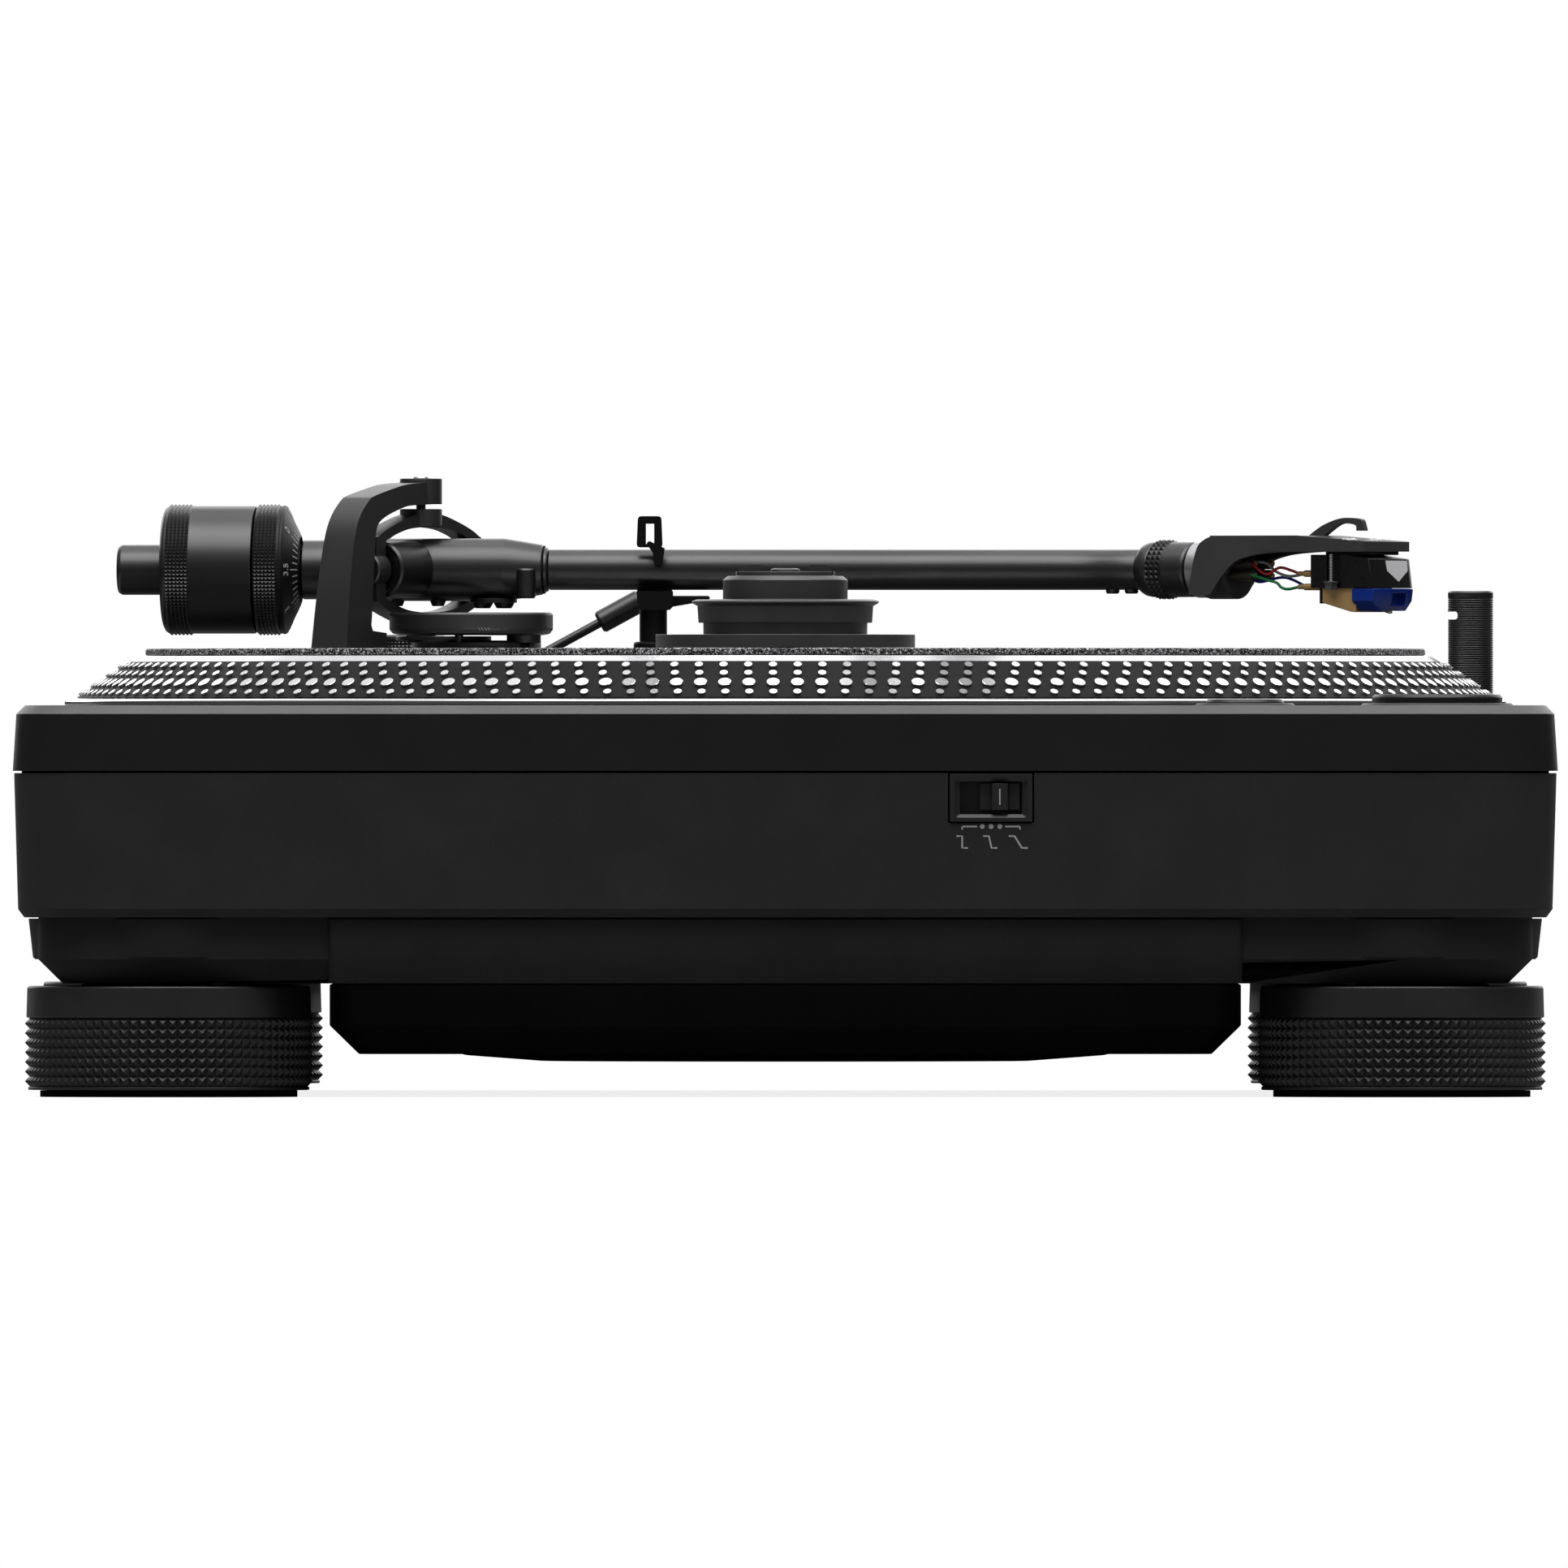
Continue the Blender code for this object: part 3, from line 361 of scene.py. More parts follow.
def corner_outline(half_x, half_y, radius, per_corner=14):
    points = []
    for corner, (sx, sy) in enumerate(((1, 1), (-1, 1), (-1, -1), (1, -1))):
        for step in range(per_corner):
            angle = math.pi / 2 * (corner + step / (per_corner - 1))
            points.append((sx * (half_x - radius) + radius * math.cos(angle),
                           sy * (half_y - radius) + radius * math.sin(angle)))
    return points


def casing(name, sections, mat, radius=CORNER_R, edge=0.0003):
    """A block through rounded rectangles, each (height, half_x, half_y), from the bottom up."""
    shape = bmesh.new()
    rows = [
        [shape.verts.new((x, y, z)) for x, y in corner_outline(half_x, half_y, radius)]
        for z, half_x, half_y in sections
    ]
    skin(shape, rows)
    shape.faces.new(rows[0])
    shape.faces.new(rows[-1])
    made = settle(shape, name, mat, angle=20)
    return rounded(made, edge) if edge else made


def knurl(name, radius, depth, low, high, rows, around, mat, at=(0, 0, 0), axis=UP, inner=0.0):
    """A band of square pyramids round an axis, on a closed ring."""
    turn = Vector(axis).to_track_quat("Z", "Y")
    at = Vector(at)
    shape = bmesh.new()

    def ring_at(r, z, shift=0.0):
        turns = [math.tau * (i + shift) / around for i in range(around)]
        return [shape.verts.new(at + turn @ Vector((r * math.cos(a), r * math.sin(a), z))) for a in turns]

    step = (high - low) / rows
    lines = [ring_at(radius, low + step * k) for k in range(rows + 1)]
    for k in range(rows):
        tips = ring_at(radius + depth, low + step * (k + 0.5), 0.5)
        for i, tip in enumerate(tips):
            j = (i + 1) % around
            corners = [lines[k][i], lines[k][j], lines[k + 1][j], lines[k + 1][i]]
            for a, b in zip(corners, corners[1:] + corners[:1]):
                shape.faces.new((a, b, tip))
    skin(shape, [lines[-1], ring_at(inner, high), ring_at(inner, low), lines[0]])
    return settle(shape, name, mat, angle=5)


def combine(made, *others, operation="DIFFERENCE"):
    """Cuts or joins other shapes at once, and removes them."""
    bevels = [modifier.width for modifier in made.modifiers if modifier.type == "BEVEL"]
    made.modifiers.clear()
    for other in others:
        other.modifiers.clear()
        step = made.modifiers.new("step", "BOOLEAN")
        step.operation = operation
        step.solver = "EXACT"
        step.object = other
    graph = bpy.context.evaluated_depsgraph_get()
    mesh = bpy.data.meshes.new_from_object(made.evaluated_get(graph))
    made.modifiers.clear()
    made.data = mesh
    for other in others:
        bpy.data.objects.remove(other)
    mesh.shade_smooth()
    mesh.set_sharp_from_angle(angle=math.radians(30))
    return rounded(made, bevels[0]) if bevels else even(made)


def cut(made, *others):
    return combine(made, *others)


def join(made, *others):
    return combine(made, *others, operation="UNION")


def smooth_through(points, per_span):
    """Points along a Catmull-Rom curve through the given ones."""
    ends = [points[0] * 2 - points[1], *points, points[-1] * 2 - points[-2]]
    made = []
    for a, b, c, d in zip(ends, ends[1:], ends[2:], ends[3:]):
        for step in range(per_span):
            t = step / per_span
            made.append(0.5 * (
                2 * b + (c - a) * t + (2 * a - 5 * b + 4 * c - d) * t * t + (3 * b - a - 3 * c + d) * t ** 3
            ))
    return [*made, points[-1]]


def smooth_outline(points, per_span=5):
    return [tuple(p) for p in smooth_through([Vector(p) for p in points], per_span)]


def tube(name, points, radius, mat, resolution=6):
    curve = bpy.data.curves.new(name, "CURVE")
    curve.dimensions = "3D"
    curve.bevel_depth = radius
    curve.bevel_resolution = resolution
    curve.use_fill_caps = True
    spline = curve.splines.new("POLY")
    spline.points.add(len(points) - 1)
    for knot, point in zip(spline.points, points):
        knot.co = (*point, 1)
    rough = bpy.data.objects.new(name + "_curve", curve)
    bpy.context.scene.collection.objects.link(rough)
    mesh = bpy.data.meshes.new_from_object(rough.evaluated_get(bpy.context.evaluated_depsgraph_get()))
    shape = bmesh.new()
    shape.from_mesh(mesh)
    bmesh.ops.remove_doubles(shape, verts=shape.verts, dist=0.00001)
    bpy.data.objects.remove(rough)
    return settle(shape, name, mat, angle=50)


def add(made, body, slot, *nodes):
    """The piece rides on a body and stands for some nodes, which it hides; its slot is not used."""
    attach(made, body)
    if nodes:
        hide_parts(*nodes)
    return made


# ---------------------------------------------------------------- deck

def deck():
    half = Vector((DECK_HIGH.x, DECK_HIGH.y))
    top = casing("top_plate_shell", [
        (DECK_LOW.z, half.x, half.y), (DECK_TOP - 0.0020, half.x - 0.0008, half.y - 0.0008),
        (DECK_TOP, half.x - 0.0028, half.y - 0.0028),
    ], DECK_BLACK, edge=0.00012)
    low, high = 0.060, 0.095
    holes = [
        rod("h1", 0.0148, low, high, None, PLATTER),
        rod("h2", 0.0306, low, high, None, (PIVOT.x, PIVOT.y, 0)), rod("h3", 0.0073, low, high, None, LIGHT),
        rod("h4", 0.0153, low, high, None, START), rod("h5", 0.0093, low, high, None, POWER),
        block("h6", FADER + Vector((-0.0035, -0.057, low)), FADER + Vector((0.0035, 0.057, high)), None, 0),
        casing("h7", [(low, 0.215, 0.168), (0.084, 0.215, 0.168)], None, 0.006, 0)
    ]
    size = Vector((0.0113, 0.0063, 0))
    for at in SPEED.values():
        holes.append(block("h8", at - size + UP * low, at + size + UP * high, None, 0))
    cut(top, *holes)
    top.data.materials.append(DECK_CHAMFER_PAINTED_HIGHLIGHT)
    # Faces that slope upwards take the lighter copy, a painted highlight of the overhead light.
    for face in top.data.polygons:
        if 0.5 < face.normal.z < 0.9:
            face.material_index = 1
    add(top, "deck", "deck_black", "top_plate")

    body_half = Vector((BODY_HIGH.x, BODY_HIGH.y))
    lower = casing("lower_body_shell", [
        (BODY_LOW.z, body_half.x - 0.0023, body_half.y - 0.0023),
        (BODY_LOW.z + BODY_CHAMFER, body_half.x - BODY_DRAFT, body_half.y - BODY_DRAFT),
        (BODY_HIGH.z, body_half.x, body_half.y)
    ], BODY_BLACK, edge=0.00015)
    cut(lower, casing("h1", [(0.030, 0.195, 0.145), (0.090, 0.195, 0.145)], None, 0.02, 0),
        rod("h2", 0.0075, 0.030, 0.090, None, LIGHT),
        block("h3", (0.020, 0.130, 0.048), (0.140, 0.190, 0.070), None, 0),
        block("h4", (-0.150, 0.130, 0.046), (-0.110, 0.190, 0.070), None, 0),
        block("h5", (-0.240, BRAKE_Y - 0.0098, 0.0627), (-0.2185, BRAKE_Y + 0.0098, 0.090), None, 0))
    add(lower, "deck", "body_black", "lower_body")

    core = casing("seam_band", [
        (BODY_HIGH.z - 0.0005, half.x - SEAM_DEPTH - 0.001, half.y - SEAM_DEPTH),
        (DECK_LOW.z + 0.0005, half.x - SEAM_DEPTH - 0.001, half.y - SEAM_DEPTH),
    ], HOLE_BLACK, edge=0)
    cut(core, casing("h1", [(0.060, 0.2165, 0.1695), (0.090, 0.2165, 0.1695)], None, 0.01, 0))
    add(core, "deck", "body_black")


def underside():
    tray = casing("bottom_tray_shell", [
        (TRAY_LOW.z, TRAY_HALF_X - 0.0055, TRAY_HALF_Y - 0.0055), (0.0315, TRAY_HALF_X, TRAY_HALF_Y),
        (TRAY_HIGH.z + 0.0004, TRAY_HALF_X, TRAY_HALF_Y),
    ], BELLY_BLACK)
    boss = [(0, TRAY_HIGH.z), (0.0321, TRAY_HIGH.z), (0.0311, 0.0320), (0.0306, 0.0315), (0, 0.0315)]
    bosses = [lathe("b", boss, None, middle(f"foot_{name}"), steps=72, soft=0) for name in FEET]
    half_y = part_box("motor_cover")[1].y
    ledge = casing("l", [
        (TRAY_LOW.z + 0.0001, LEDGE_HALF_X - 0.0030, half_y), (0.0326, LEDGE_HALF_X, half_y),
        (TRAY_HIGH.z - 0.0001, LEDGE_HALF_X, half_y),
    ], None, radius=0.0015, edge=0)
    add(join(tray, *bosses, ledge), "deck", "body_black", "bottom_tray")
    belly_low, belly_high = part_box("motor_cover")
    cover = casing("motor_cover_shell", [
        (belly_low.z, belly_high.x - 0.0067, belly_high.y - 0.0067), (0.0163, belly_high.x, belly_high.y),
        (belly_high.z, belly_high.x, belly_high.y),
    ], BELLY_BLACK, radius=0.006)
    add(cover, "deck", "body_black", "motor_cover")
    dish_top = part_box("bearing_dish")[1].z
    # The dish takes the lighter grey, painted light from the floor below.
    dish = lathe("bearing_dish_plate", [
        (0, dish_top), (0.0753, dish_top), (0.0735, 0.0090), (0.0562, 0.0077), (0, 0.0077),
    ], DISH_PAINTED_FLOOR_LIGHT, PLATTER, steps=128)
    add(dish, "deck", "body_black", "bearing_dish")
    for number, (x, y) in enumerate((x, y) for x in (-0.205, -0.07, 0.07, 0.205) for y in (-0.108, 0.108)):
        screw = screw_head(f"bottom_screw_{number}", 0.0030, Vector((x, y * 1.2, TRAY_LOW.z)), -UP, STEEL)
        add(screw, "deck", "steel")


def screw_head(name, radius, at, axis, mat, rise=0.0009):
    """A domed screw head with a cross recess, standing on a face."""
    head = lathe(name, [
        (0, rise), (radius * 0.7, rise * 0.9), (radius, rise * 0.35), (radius, -0.0004), (0, -0.0004)
    ], mat, at, axis, 32, soft=0.0001)
    turn = Vector(axis).to_track_quat("Z", "Y")
    at = Vector(at)
    arms = []
    for half_x, half_y in ((radius * 0.55, radius * 0.11), (radius * 0.11, radius * 0.55)):
        arms.append(block("arm", (-half_x, -half_y, rise * 0.3), (half_x, half_y, rise * 2), None, 0,
                          lambda x, y, z: at + turn @ Vector((x, y, z))))
    return cut(head, *arms)


def feet():
    profile = [
        (0, 0.0254), (0.0321, 0.0254), (0.0324, 0.0250), (0.0326, 0.0182), (0.0318, 0.0180), (0.0318, 0.0024),
        (0.0322, 0.0023), (0.0322, 0.0016), (0, 0.0016)
    ]
    for name in FEET:
        at = middle(f"foot_{name}")
        body = f"foot_unit_{name}"
        add(lathe(
            f"foot_body_{name}", profile, FOOT_BLACK, at, steps=128
        ), body, "foot_black", f"foot_{name}")
        add(knurl(f"foot_grip_{name}", 0.03195, 0.00100, 0.0025, 0.0179, 7, 90, FOOT_BLACK, at, inner=0.0310),
            body, "foot_black")
        neck = [(0, 0.0259), (0.0196, 0.0259), (0.0203, 0.0253), (0, 0.0253)]
        add(lathe(f"foot_neck_{name}", neck, FOOT_BLACK, at, steps=64, soft=0.0001), body, "foot_black")
        pad = [(0, 0.0015), (0.02945, 0.0015), (0.02945, 0), (0.0250, 0), (0.0245, 0.0005), (0.0120, 0.0005),
               (0.0115, 0), (0, 0)]
        add(lathe(
            f"foot_rubber_{name}", pad, RUBBER, at, steps=96, soft=0.0001
        ), body, "rubber", f"foot_pad_{name}")


# ---------------------------------------------------------------- platter, mat and clamp

RIM_OUTER = 0.1663
CONE_FOOT = (0.1634, 0.0914)
CONE_TOP = (0.1509, 0.0999)
CONE_SLOPE = math.atan2(CONE_TOP[1] - CONE_FOOT[1], CONE_FOOT[0] - CONE_TOP[0])


def platter():
    disc = lathe("platter_disc", [
        (SPINDLE_BORE, 0.1009), (0.1482, 0.1009), (0.1490, 0.1011), CONE_TOP, CONE_FOOT, (0.1644, 0.0912),
        (0.1655, 0.0911), (RIM_OUTER, 0.0907), (RIM_OUTER, 0.0898), (0.1585, 0.0898), (0.1585, 0.0925),
        (0.0300, 0.0972), (0.0300, 0.0902), (SPINDLE_BORE, 0.0902),
    ], RIM_METAL, PLATTER, steps=256, closed=True, soft=0.0002)
    add(disc, "platter_unit", "aluminium", "platter")
    proud = 0.00015
    band = [
        (CONE_TOP[0] + proud, CONE_TOP[1] - 0.0001), (CONE_FOOT[0] + proud, CONE_FOOT[1] + 0.0001),
        (CONE_FOOT[0] - 0.001, CONE_FOOT[1]), (CONE_TOP[0] - 0.001, CONE_TOP[1] - 0.0006),
    ]
    add(lathe("strobe_band", band, PLATTER_BLACK, PLATTER, steps=256, closed=True, soft=0), "platter_unit",
        "deck_black")
    strobe_dots()
    pin = lathe("spindle_pin", [
        (0, 0.1195), (0.0018, 0.1194), (0.0030, 0.1188), (0.0036, 0.1172), (0.0036, 0.058), (0, 0.058)
    ], STEEL, PLATTER, steps=48, soft=0.0003)
    add(pin, "platter_unit", "steel", "spindle")


def strobe_dots():
    """Raised mirror discs in four rows on the cone, each row evenly spaced with its own count."""
    outward = Vector((math.sin(CONE_SLOPE), 0, math.cos(CONE_SLOPE)))
    downhill = Vector((math.cos(CONE_SLOPE), 0, -math.sin(CONE_SLOPE)))
    shape = bmesh.new()
    sides = 16
    for height, count, radius in ((0.0985, 170, 0.00098), (0.0966, 174, 0.00098), (0.0945, 180, 0.00155),
                                  (0.0923, 186, 0.00098)):
        share = (CONE_TOP[1] - height) / (CONE_TOP[1] - CONE_FOOT[1])
        seat = Vector((CONE_TOP[0] + share * (CONE_FOOT[0] - CONE_TOP[0]), 0, height))
        for number in range(count):
            heading = math.pi + math.tau * (number + 0.5) / count
            rows = []
            for lift, size in ((0.00005, 1.0), (0.00062, 1.0), (0.00070, 0.93)):
                row = []
                for i in range(sides):
                    a = math.tau * i / sides
                    point = seat + outward * lift + downhill * (radius * size * math.cos(a))
                    point.y = radius * size * math.sin(a)
                    turned = Vector((point.x * math.cos(heading) - point.y * math.sin(heading),
                                     point.x * math.sin(heading) + point.y * math.cos(heading), point.z))
                    row.append(shape.verts.new(PLATTER + turned))
                rows.append(row)
            skin(shape, rows)
            shape.faces.new(rows[0])
            shape.faces.new(rows[-1])
    add(settle(shape, "strobe_dots", DOT_METAL, angle=25), "platter_unit", "aluminium")


def slipmat():
    """A pressed felt disc with a hole, whose cut edge is ragged by the size of its fibres."""
    low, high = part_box("slipmat")
    radius = (high.x - low.x) / 2
    steps = 900
    shape = bmesh.new()
    profile = [
        (SPINDLE_BORE, high.z), (0.0060, high.z), (0.06, high.z), (0.11, high.z), (radius - 0.0004, high.z),
        (radius, high.z - 0.0003), (radius, high.z - 0.0008), (radius, low.z + 0.0003),
        (radius - 0.0003, low.z), (0.06, low.z), (SPINDLE_BORE, low.z)
    ]
    rows = []
    for r, z in profile:
        ragged = 0.00012 if r > radius - 0.001 else 0.0
        row = []
        for i in range(steps):
            a = math.tau * i / steps
            reach = r - abs(random.gauss(0, ragged)) if ragged else r
            lift = random.uniform(-ragged, 0) if z > low.z + 0.001 else random.uniform(0, ragged)
            row.append(
                shape.verts.new(PLATTER + Vector((reach * math.cos(a), reach * math.sin(a), z + lift)))
            )
        rows.append(row)
    skin(shape, rows, looped=True)
    mat = add(settle(shape, "felt_slipmat", FELT, angle=60), "platter_unit", "felt", "slipmat")


def record_clamp():
    puck = lathe("clamp_puck", [
        (0, 0.1214), (0.0026, 0.1214), (0.0034, 0.1211), (0.0034, 0.1198), (0.0098, 0.1198), (0.0098, 0.1206),
        (0.0114, 0.1206), (0.0114, 0.1196), (0.0133, 0.1196), (0.0144, 0.1187), (0.0144, 0.1142),
        (0.0204, 0.1142), (0.0216, 0.1138), (0.0216, 0.1134), (0.02040, 0.1127), (0.0203, 0.1127),
        (0.02005, 0.1088), (0.01895, 0.1088), (0.0189, 0.1061), (0.02995, 0.1061), (0.02995, 0.1031),
        (0.0040, 0.1031), (0.0040, 0.1190), (0, 0.1197),
    ], CLAMP_GREY, PLATTER, steps=192, soft=0.00018)
    for side in (-1, 1):
        tab = [
            (side * 0.0055, 0.1200), (side * 0.0114, 0.1200), (side * 0.0110, 0.1208),
            (side * 0.0092, 0.1222), (side * 0.0055, 0.1222)
        ]
        join(puck, plate("tab", tab, -0.0034, 0.0034, None, lambda y, z, x: Vector((PLATTER.x + x, y, z)), 0))
    rounded(puck, 0.00012, 2)
    add(puck, "clamp", "clamp_grey", "record_clamp")


# ---------------------------------------------------------------- controls

def button(name, at, low, high, outer, dish, body, node):
    """A turned push button with a bevelled edge and a shallow dished face."""
    made = lathe(name, [
        (0, high - dish), (outer * 0.82, high - dish * 0.6), (outer * 0.90, high), (outer - 0.0006, high),
        (outer, high - 0.0007), (outer, low), (0, low),
    ], lathe_marks(surface(f"{name}_metal", grey(0.055), 0.38, 0.8), at, 0.0004, 0.06), at, steps=96)
    add(made, body, "clamp_grey", node)


def controls():
    button("start_stop_key", START, 0.0812, 0.0921, 0.01495, 0.0003, "start_button", "start_stop_button")
    button("power_key_disc", POWER, 0.0812, 0.0910, 0.0090, 0.0002, "power_key", "power_button")
    for at, name, radius in ((START, "start_bezel", 0.0153), (POWER, "power_bezel", 0.0093)):
        ring = [
            (radius, DECK_TOP + 0.0001), (radius + 0.0005, DECK_TOP + 0.0005),
            (radius + 0.0016, DECK_TOP + 0.0005), (radius + 0.0022, DECK_TOP),
            (radius + 0.0022, DECK_TOP - 0.0006), (radius, DECK_TOP - 0.0006)
        ]
        add(lathe(name, ring, DECK_BLACK, at, closed=True, soft=0.0001), "deck", "deck_black")
    for speed, at in SPEED.items():
        size = Vector((0.0110, 0.0060, 0))
        key = block(
            f"speed_key_{speed}_cap", at - size + UP * 0.0812, at + size + UP * 0.0906, PLASTIC, 0.0006
        )
        add(key, f"speed_key_{speed}", "plastic_black", f"speed_button_{speed}")
        lamp = block(f"speed_lamp_{speed}", at + Vector((0.0050, -0.0012, 0.0904)),
                     at + Vector((0.0080, 0.0012, 0.09068)), LABEL, 0.0001)
        add(lamp, f"speed_key_{speed}", "plastic_black")
    fader()
    stylus_light()
    brake_switch()


def fader():
    low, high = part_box("pitch_fader_plate")
    panel = block("fader_panel", low, high, PLASTIC, 0.0004)
    slot = block(
        "s", FADER + Vector((-0.0025, -0.0565, 0.080)), FADER + Vector((0.0025, 0.0565, 0.095)), None, 0
    )
    add(cut(panel, slot), "deck", "plastic_black", "pitch_fader_plate")
    travel = 0.050
    marks = 20
    for number in range(marks + 1):
        y = FADER.y - travel + 2 * travel * number / marks
        long_mark = number % 5 == 0
        for side in (-1, 1):
            inner = 0.0040
            outer = inner + (0.0040 if long_mark else 0.0024)
            xs = sorted((FADER.x + side * inner, FADER.x + side * outer))
            mark = block(
                f"fader_mark_{number}_{'l' if side < 0 else 'r'}", (xs[0], y - 0.00018, high.z - 0.0001),
                (xs[1], y + 0.00018, high.z + 0.00004), DIAL_WHITE, 0
            )
            add(mark, "deck", "plastic_black")
    knob = plate("fader_knob", soften([
        (-0.0060, 0.0912), (0.0060, 0.0912), (0.0056, 0.0975), (0.0030, 0.0985), (0.0006, 0.0972),
        (-0.0006, 0.0972), (-0.0030, 0.0985), (-0.0056, 0.0975)
    ], 0.0008, True), -0.0080, 0.0080, PLASTIC, lambda y, z, x: Vector((FADER.x + x, FADER.y + y, z)), 0.0004)
    stem = block(
        "s", FADER + Vector((-0.0015, -0.0030, 0.078)), FADER + Vector((0.0015, 0.0030, 0.0930)), None, 0
    )
    add(join(knob, stem), "fader", "plastic_black", "pitch_fader_knob")
    line = block(
        "fader_line", FADER + Vector((-0.0074, -0.0004, 0.0970)), FADER + Vector((0.0074, 0.0004, 0.09732)),
        DIAL_WHITE, 0.00005
    )
    add(line, "fader", "plastic_black")


def stylus_light():
    sleeve = [
        (SLEEVE_BORE, 0.0910), (0.0060, 0.0912), (0.0066, 0.0912), (0.0071, 0.0907), (0.0071, 0.0898),
        (0.0069, 0.0896), (0.0069, 0.0600), (SLEEVE_BORE, 0.0600)
    ]
    add(lathe("light_collar", sleeve, PLASTIC, LIGHT, closed=True, soft=0.0001), "deck", "plastic_black",
        "light_sleeve")
    rib, depth, radius = 0.00052, 0.00016, 0.00525
    profile = [(0, 0.1164), (radius - 0.0004, 0.1164), (radius, 0.1160), (radius, 0.1148)]
    for number in range(44):
        z = 0.1146 - number * rib
        profile += [(radius - depth, z), (radius, z - rib * 0.35), (radius, z - rib * 0.65)]
    profile += [(radius, 0.0670), (0, 0.0670)]
    post = lathe("light_tube", profile, ARM_BLACK, LIGHT, steps=72, soft=0)
    inner, outer, low, high = 0.0030, 0.0070, 0.1098, 0.1117
    slot = soften([(inner, low), (outer, low), (outer, high), (inner, high)], 0.0009, True, 5)
    hole = plate("h", slot, -0.0070, 0.0070, None, lambda y, z, x: LIGHT + Vector((x, y, z)), 0)
    add(cut(post, hole), "stylus_light", "arm_black", "light_post")
    lens = rod(
        "light_lens", 0.0011, 0.1116, 0.1121, LAMP_GLASS, LIGHT + Vector((0, 0.0042, 0)), steps=24,
        soft=0.0001
    )
    add(lens, "stylus_light", "plastic_black")


def on_side(y, z, x):
    """World point on the left side of the deck, from distance along it, height and depth outwards."""
    return Vector((-x, y, z))


def brake_switch():
    face = -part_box("brake_switch_bezel")[0].x
    low_y, high_y = BRAKE_Y - 0.00945, BRAKE_Y + 0.00945
    frame_outline = soften([
        (low_y, 0.0630), (high_y, 0.0630), (high_y, 0.0739), (low_y, 0.0739)
    ], 0.0002, True)
    bezel = plate("switch_bezel", frame_outline, 0.2190, face, SWITCH_BLACK, on_side, 0.00022)
    recess = soften([
        (-0.05530, 0.0639), (-0.03870, 0.0639), (-0.03870, 0.0731), (-0.05530, 0.0731)
    ], 0.0010, True, 5)
    floor = soften([
        (-0.05410, 0.0647), (-0.03990, 0.0647), (-0.03990, 0.0722), (-0.05410, 0.0722)
    ], 0.0003, True, 5)
    funnel = bmesh.new()
    rows = [[funnel.verts.new(on_side(y, z, x)) for y, z in outline]
            for outline, x in ((floor, 0.2212), (floor, 0.2250), (recess, 0.2256), (recess, 0.2300))]
    skin(funnel, rows)
    funnel.faces.new(rows[0])
    funnel.faces.new(rows[-1])
    add(cut(bezel, settle(funnel, "funnel", None)), "deck", "plastic_black", "brake_switch_bezel")

    centre = -0.0490
    valley = soften([(centre - 0.0046, 0.2216), (centre + 0.0046, 0.2216), (centre + 0.0046, 0.2244),
                     (centre + 0.0022, 0.2240), (centre + 0.0018, 0.2260), (centre - 0.0018, 0.2260),
                     (centre - 0.0022, 0.2240), (centre - 0.0046, 0.2244)], 0.0003, True)
    slider = plate(
        "switch_knob", valley, 0.0657, 0.0717, SWITCH_BLACK, lambda y, x, z: Vector((-x, y, z)), 0.0003
    )
    add(slider, "brake_slider", "plastic_black", "brake_switch_knob")
    line = block(
        "switch_line", (centre - 0.00016, 0.0668, 0.2258), (centre + 0.00016, 0.0705, 0.22606), DIAL_WHITE,
        0.00003, on_side
    )
    add(line, "brake_slider", "plastic_black")
    switch_marks()


def stroke(name, points, width, side_face):
    """A printed line on the deck's left side: a flat ribbon that just stands off the face."""
    half = width / 2
    shape = bmesh.new()
    rows = []
    for i, point in enumerate(points):
        ahead = Vector(points[min(i + 1, len(points) - 1)])
        behind = Vector(points[max(i - 1, 0)])
        across = (ahead - behind).normalized()
        across = Vector((-across.y, across.x)) * half
        here = Vector(point)
        row = []
        for offset, lift in (
            (across, MARK_LIFT), (across, -MARK_DEPTH), (-across, -MARK_DEPTH), (-across, MARK_LIFT)
        ):
            y, z = here + offset
            row.append(shape.verts.new(on_side(y, z, side_face(z) + lift)))
        rows.append(row)
    skin(shape, rows)
    shape.faces.new(rows[0])
    shape.faces.new(rows[-1])
    add(settle(shape, name, PRINT), "deck", "body_black")


def switch_marks():
    """Marks under the switch: a bracket line, three dots and three stepped lines, each less steep."""
    def side_face(z):
        share = (z - BODY_LOW.z - BODY_CHAMFER) / (BODY_HIGH.z - BODY_LOW.z - BODY_CHAMFER)
        return BODY_HIGH.x - BODY_DRAFT * (1 - share)

    bar = 0.0619
    drop = 0.0612
    width = 0.00042
    spot = 0.00055
    stroke("switch_bracket_rear", [
        (-0.0404, drop), (-0.0404, bar - 0.0002), (-0.0406, bar), (-0.0438, bar)
    ], width, side_face)
    stroke("switch_bracket_front", [
        (-0.0502, bar), (-0.0534, bar), (-0.0536, bar - 0.0002), (-0.0536, drop)
    ], width, side_face)
    for number, y in enumerate((-0.0450, -0.0470, -0.0490)):
        dot = lathe(
            f"switch_dot_{number}",
            [(0, MARK_LIFT), (spot, MARK_LIFT), (spot, -MARK_DEPTH), (0, -MARK_DEPTH)], PRINT,
            (-side_face(bar), y, bar), (-1, 0, 0), 24, soft=0
        )
        add(dot, "deck", "body_black")
    high, low = 0.0597, 0.0570
    for number, (y, run) in enumerate(((-0.0404, 0.0), (-0.0468, 0.0006), (-0.0532, 0.0017))):
        step = [
            (y + 0.0013 + run / 2, high), (y + run / 2, high), (y - run / 2, low), (y - 0.0013 - run / 2, low)
        ]
        stroke(f"switch_ramp_{number}", step, width, side_face)


# ---------------------------------------------------------------- back of the deck

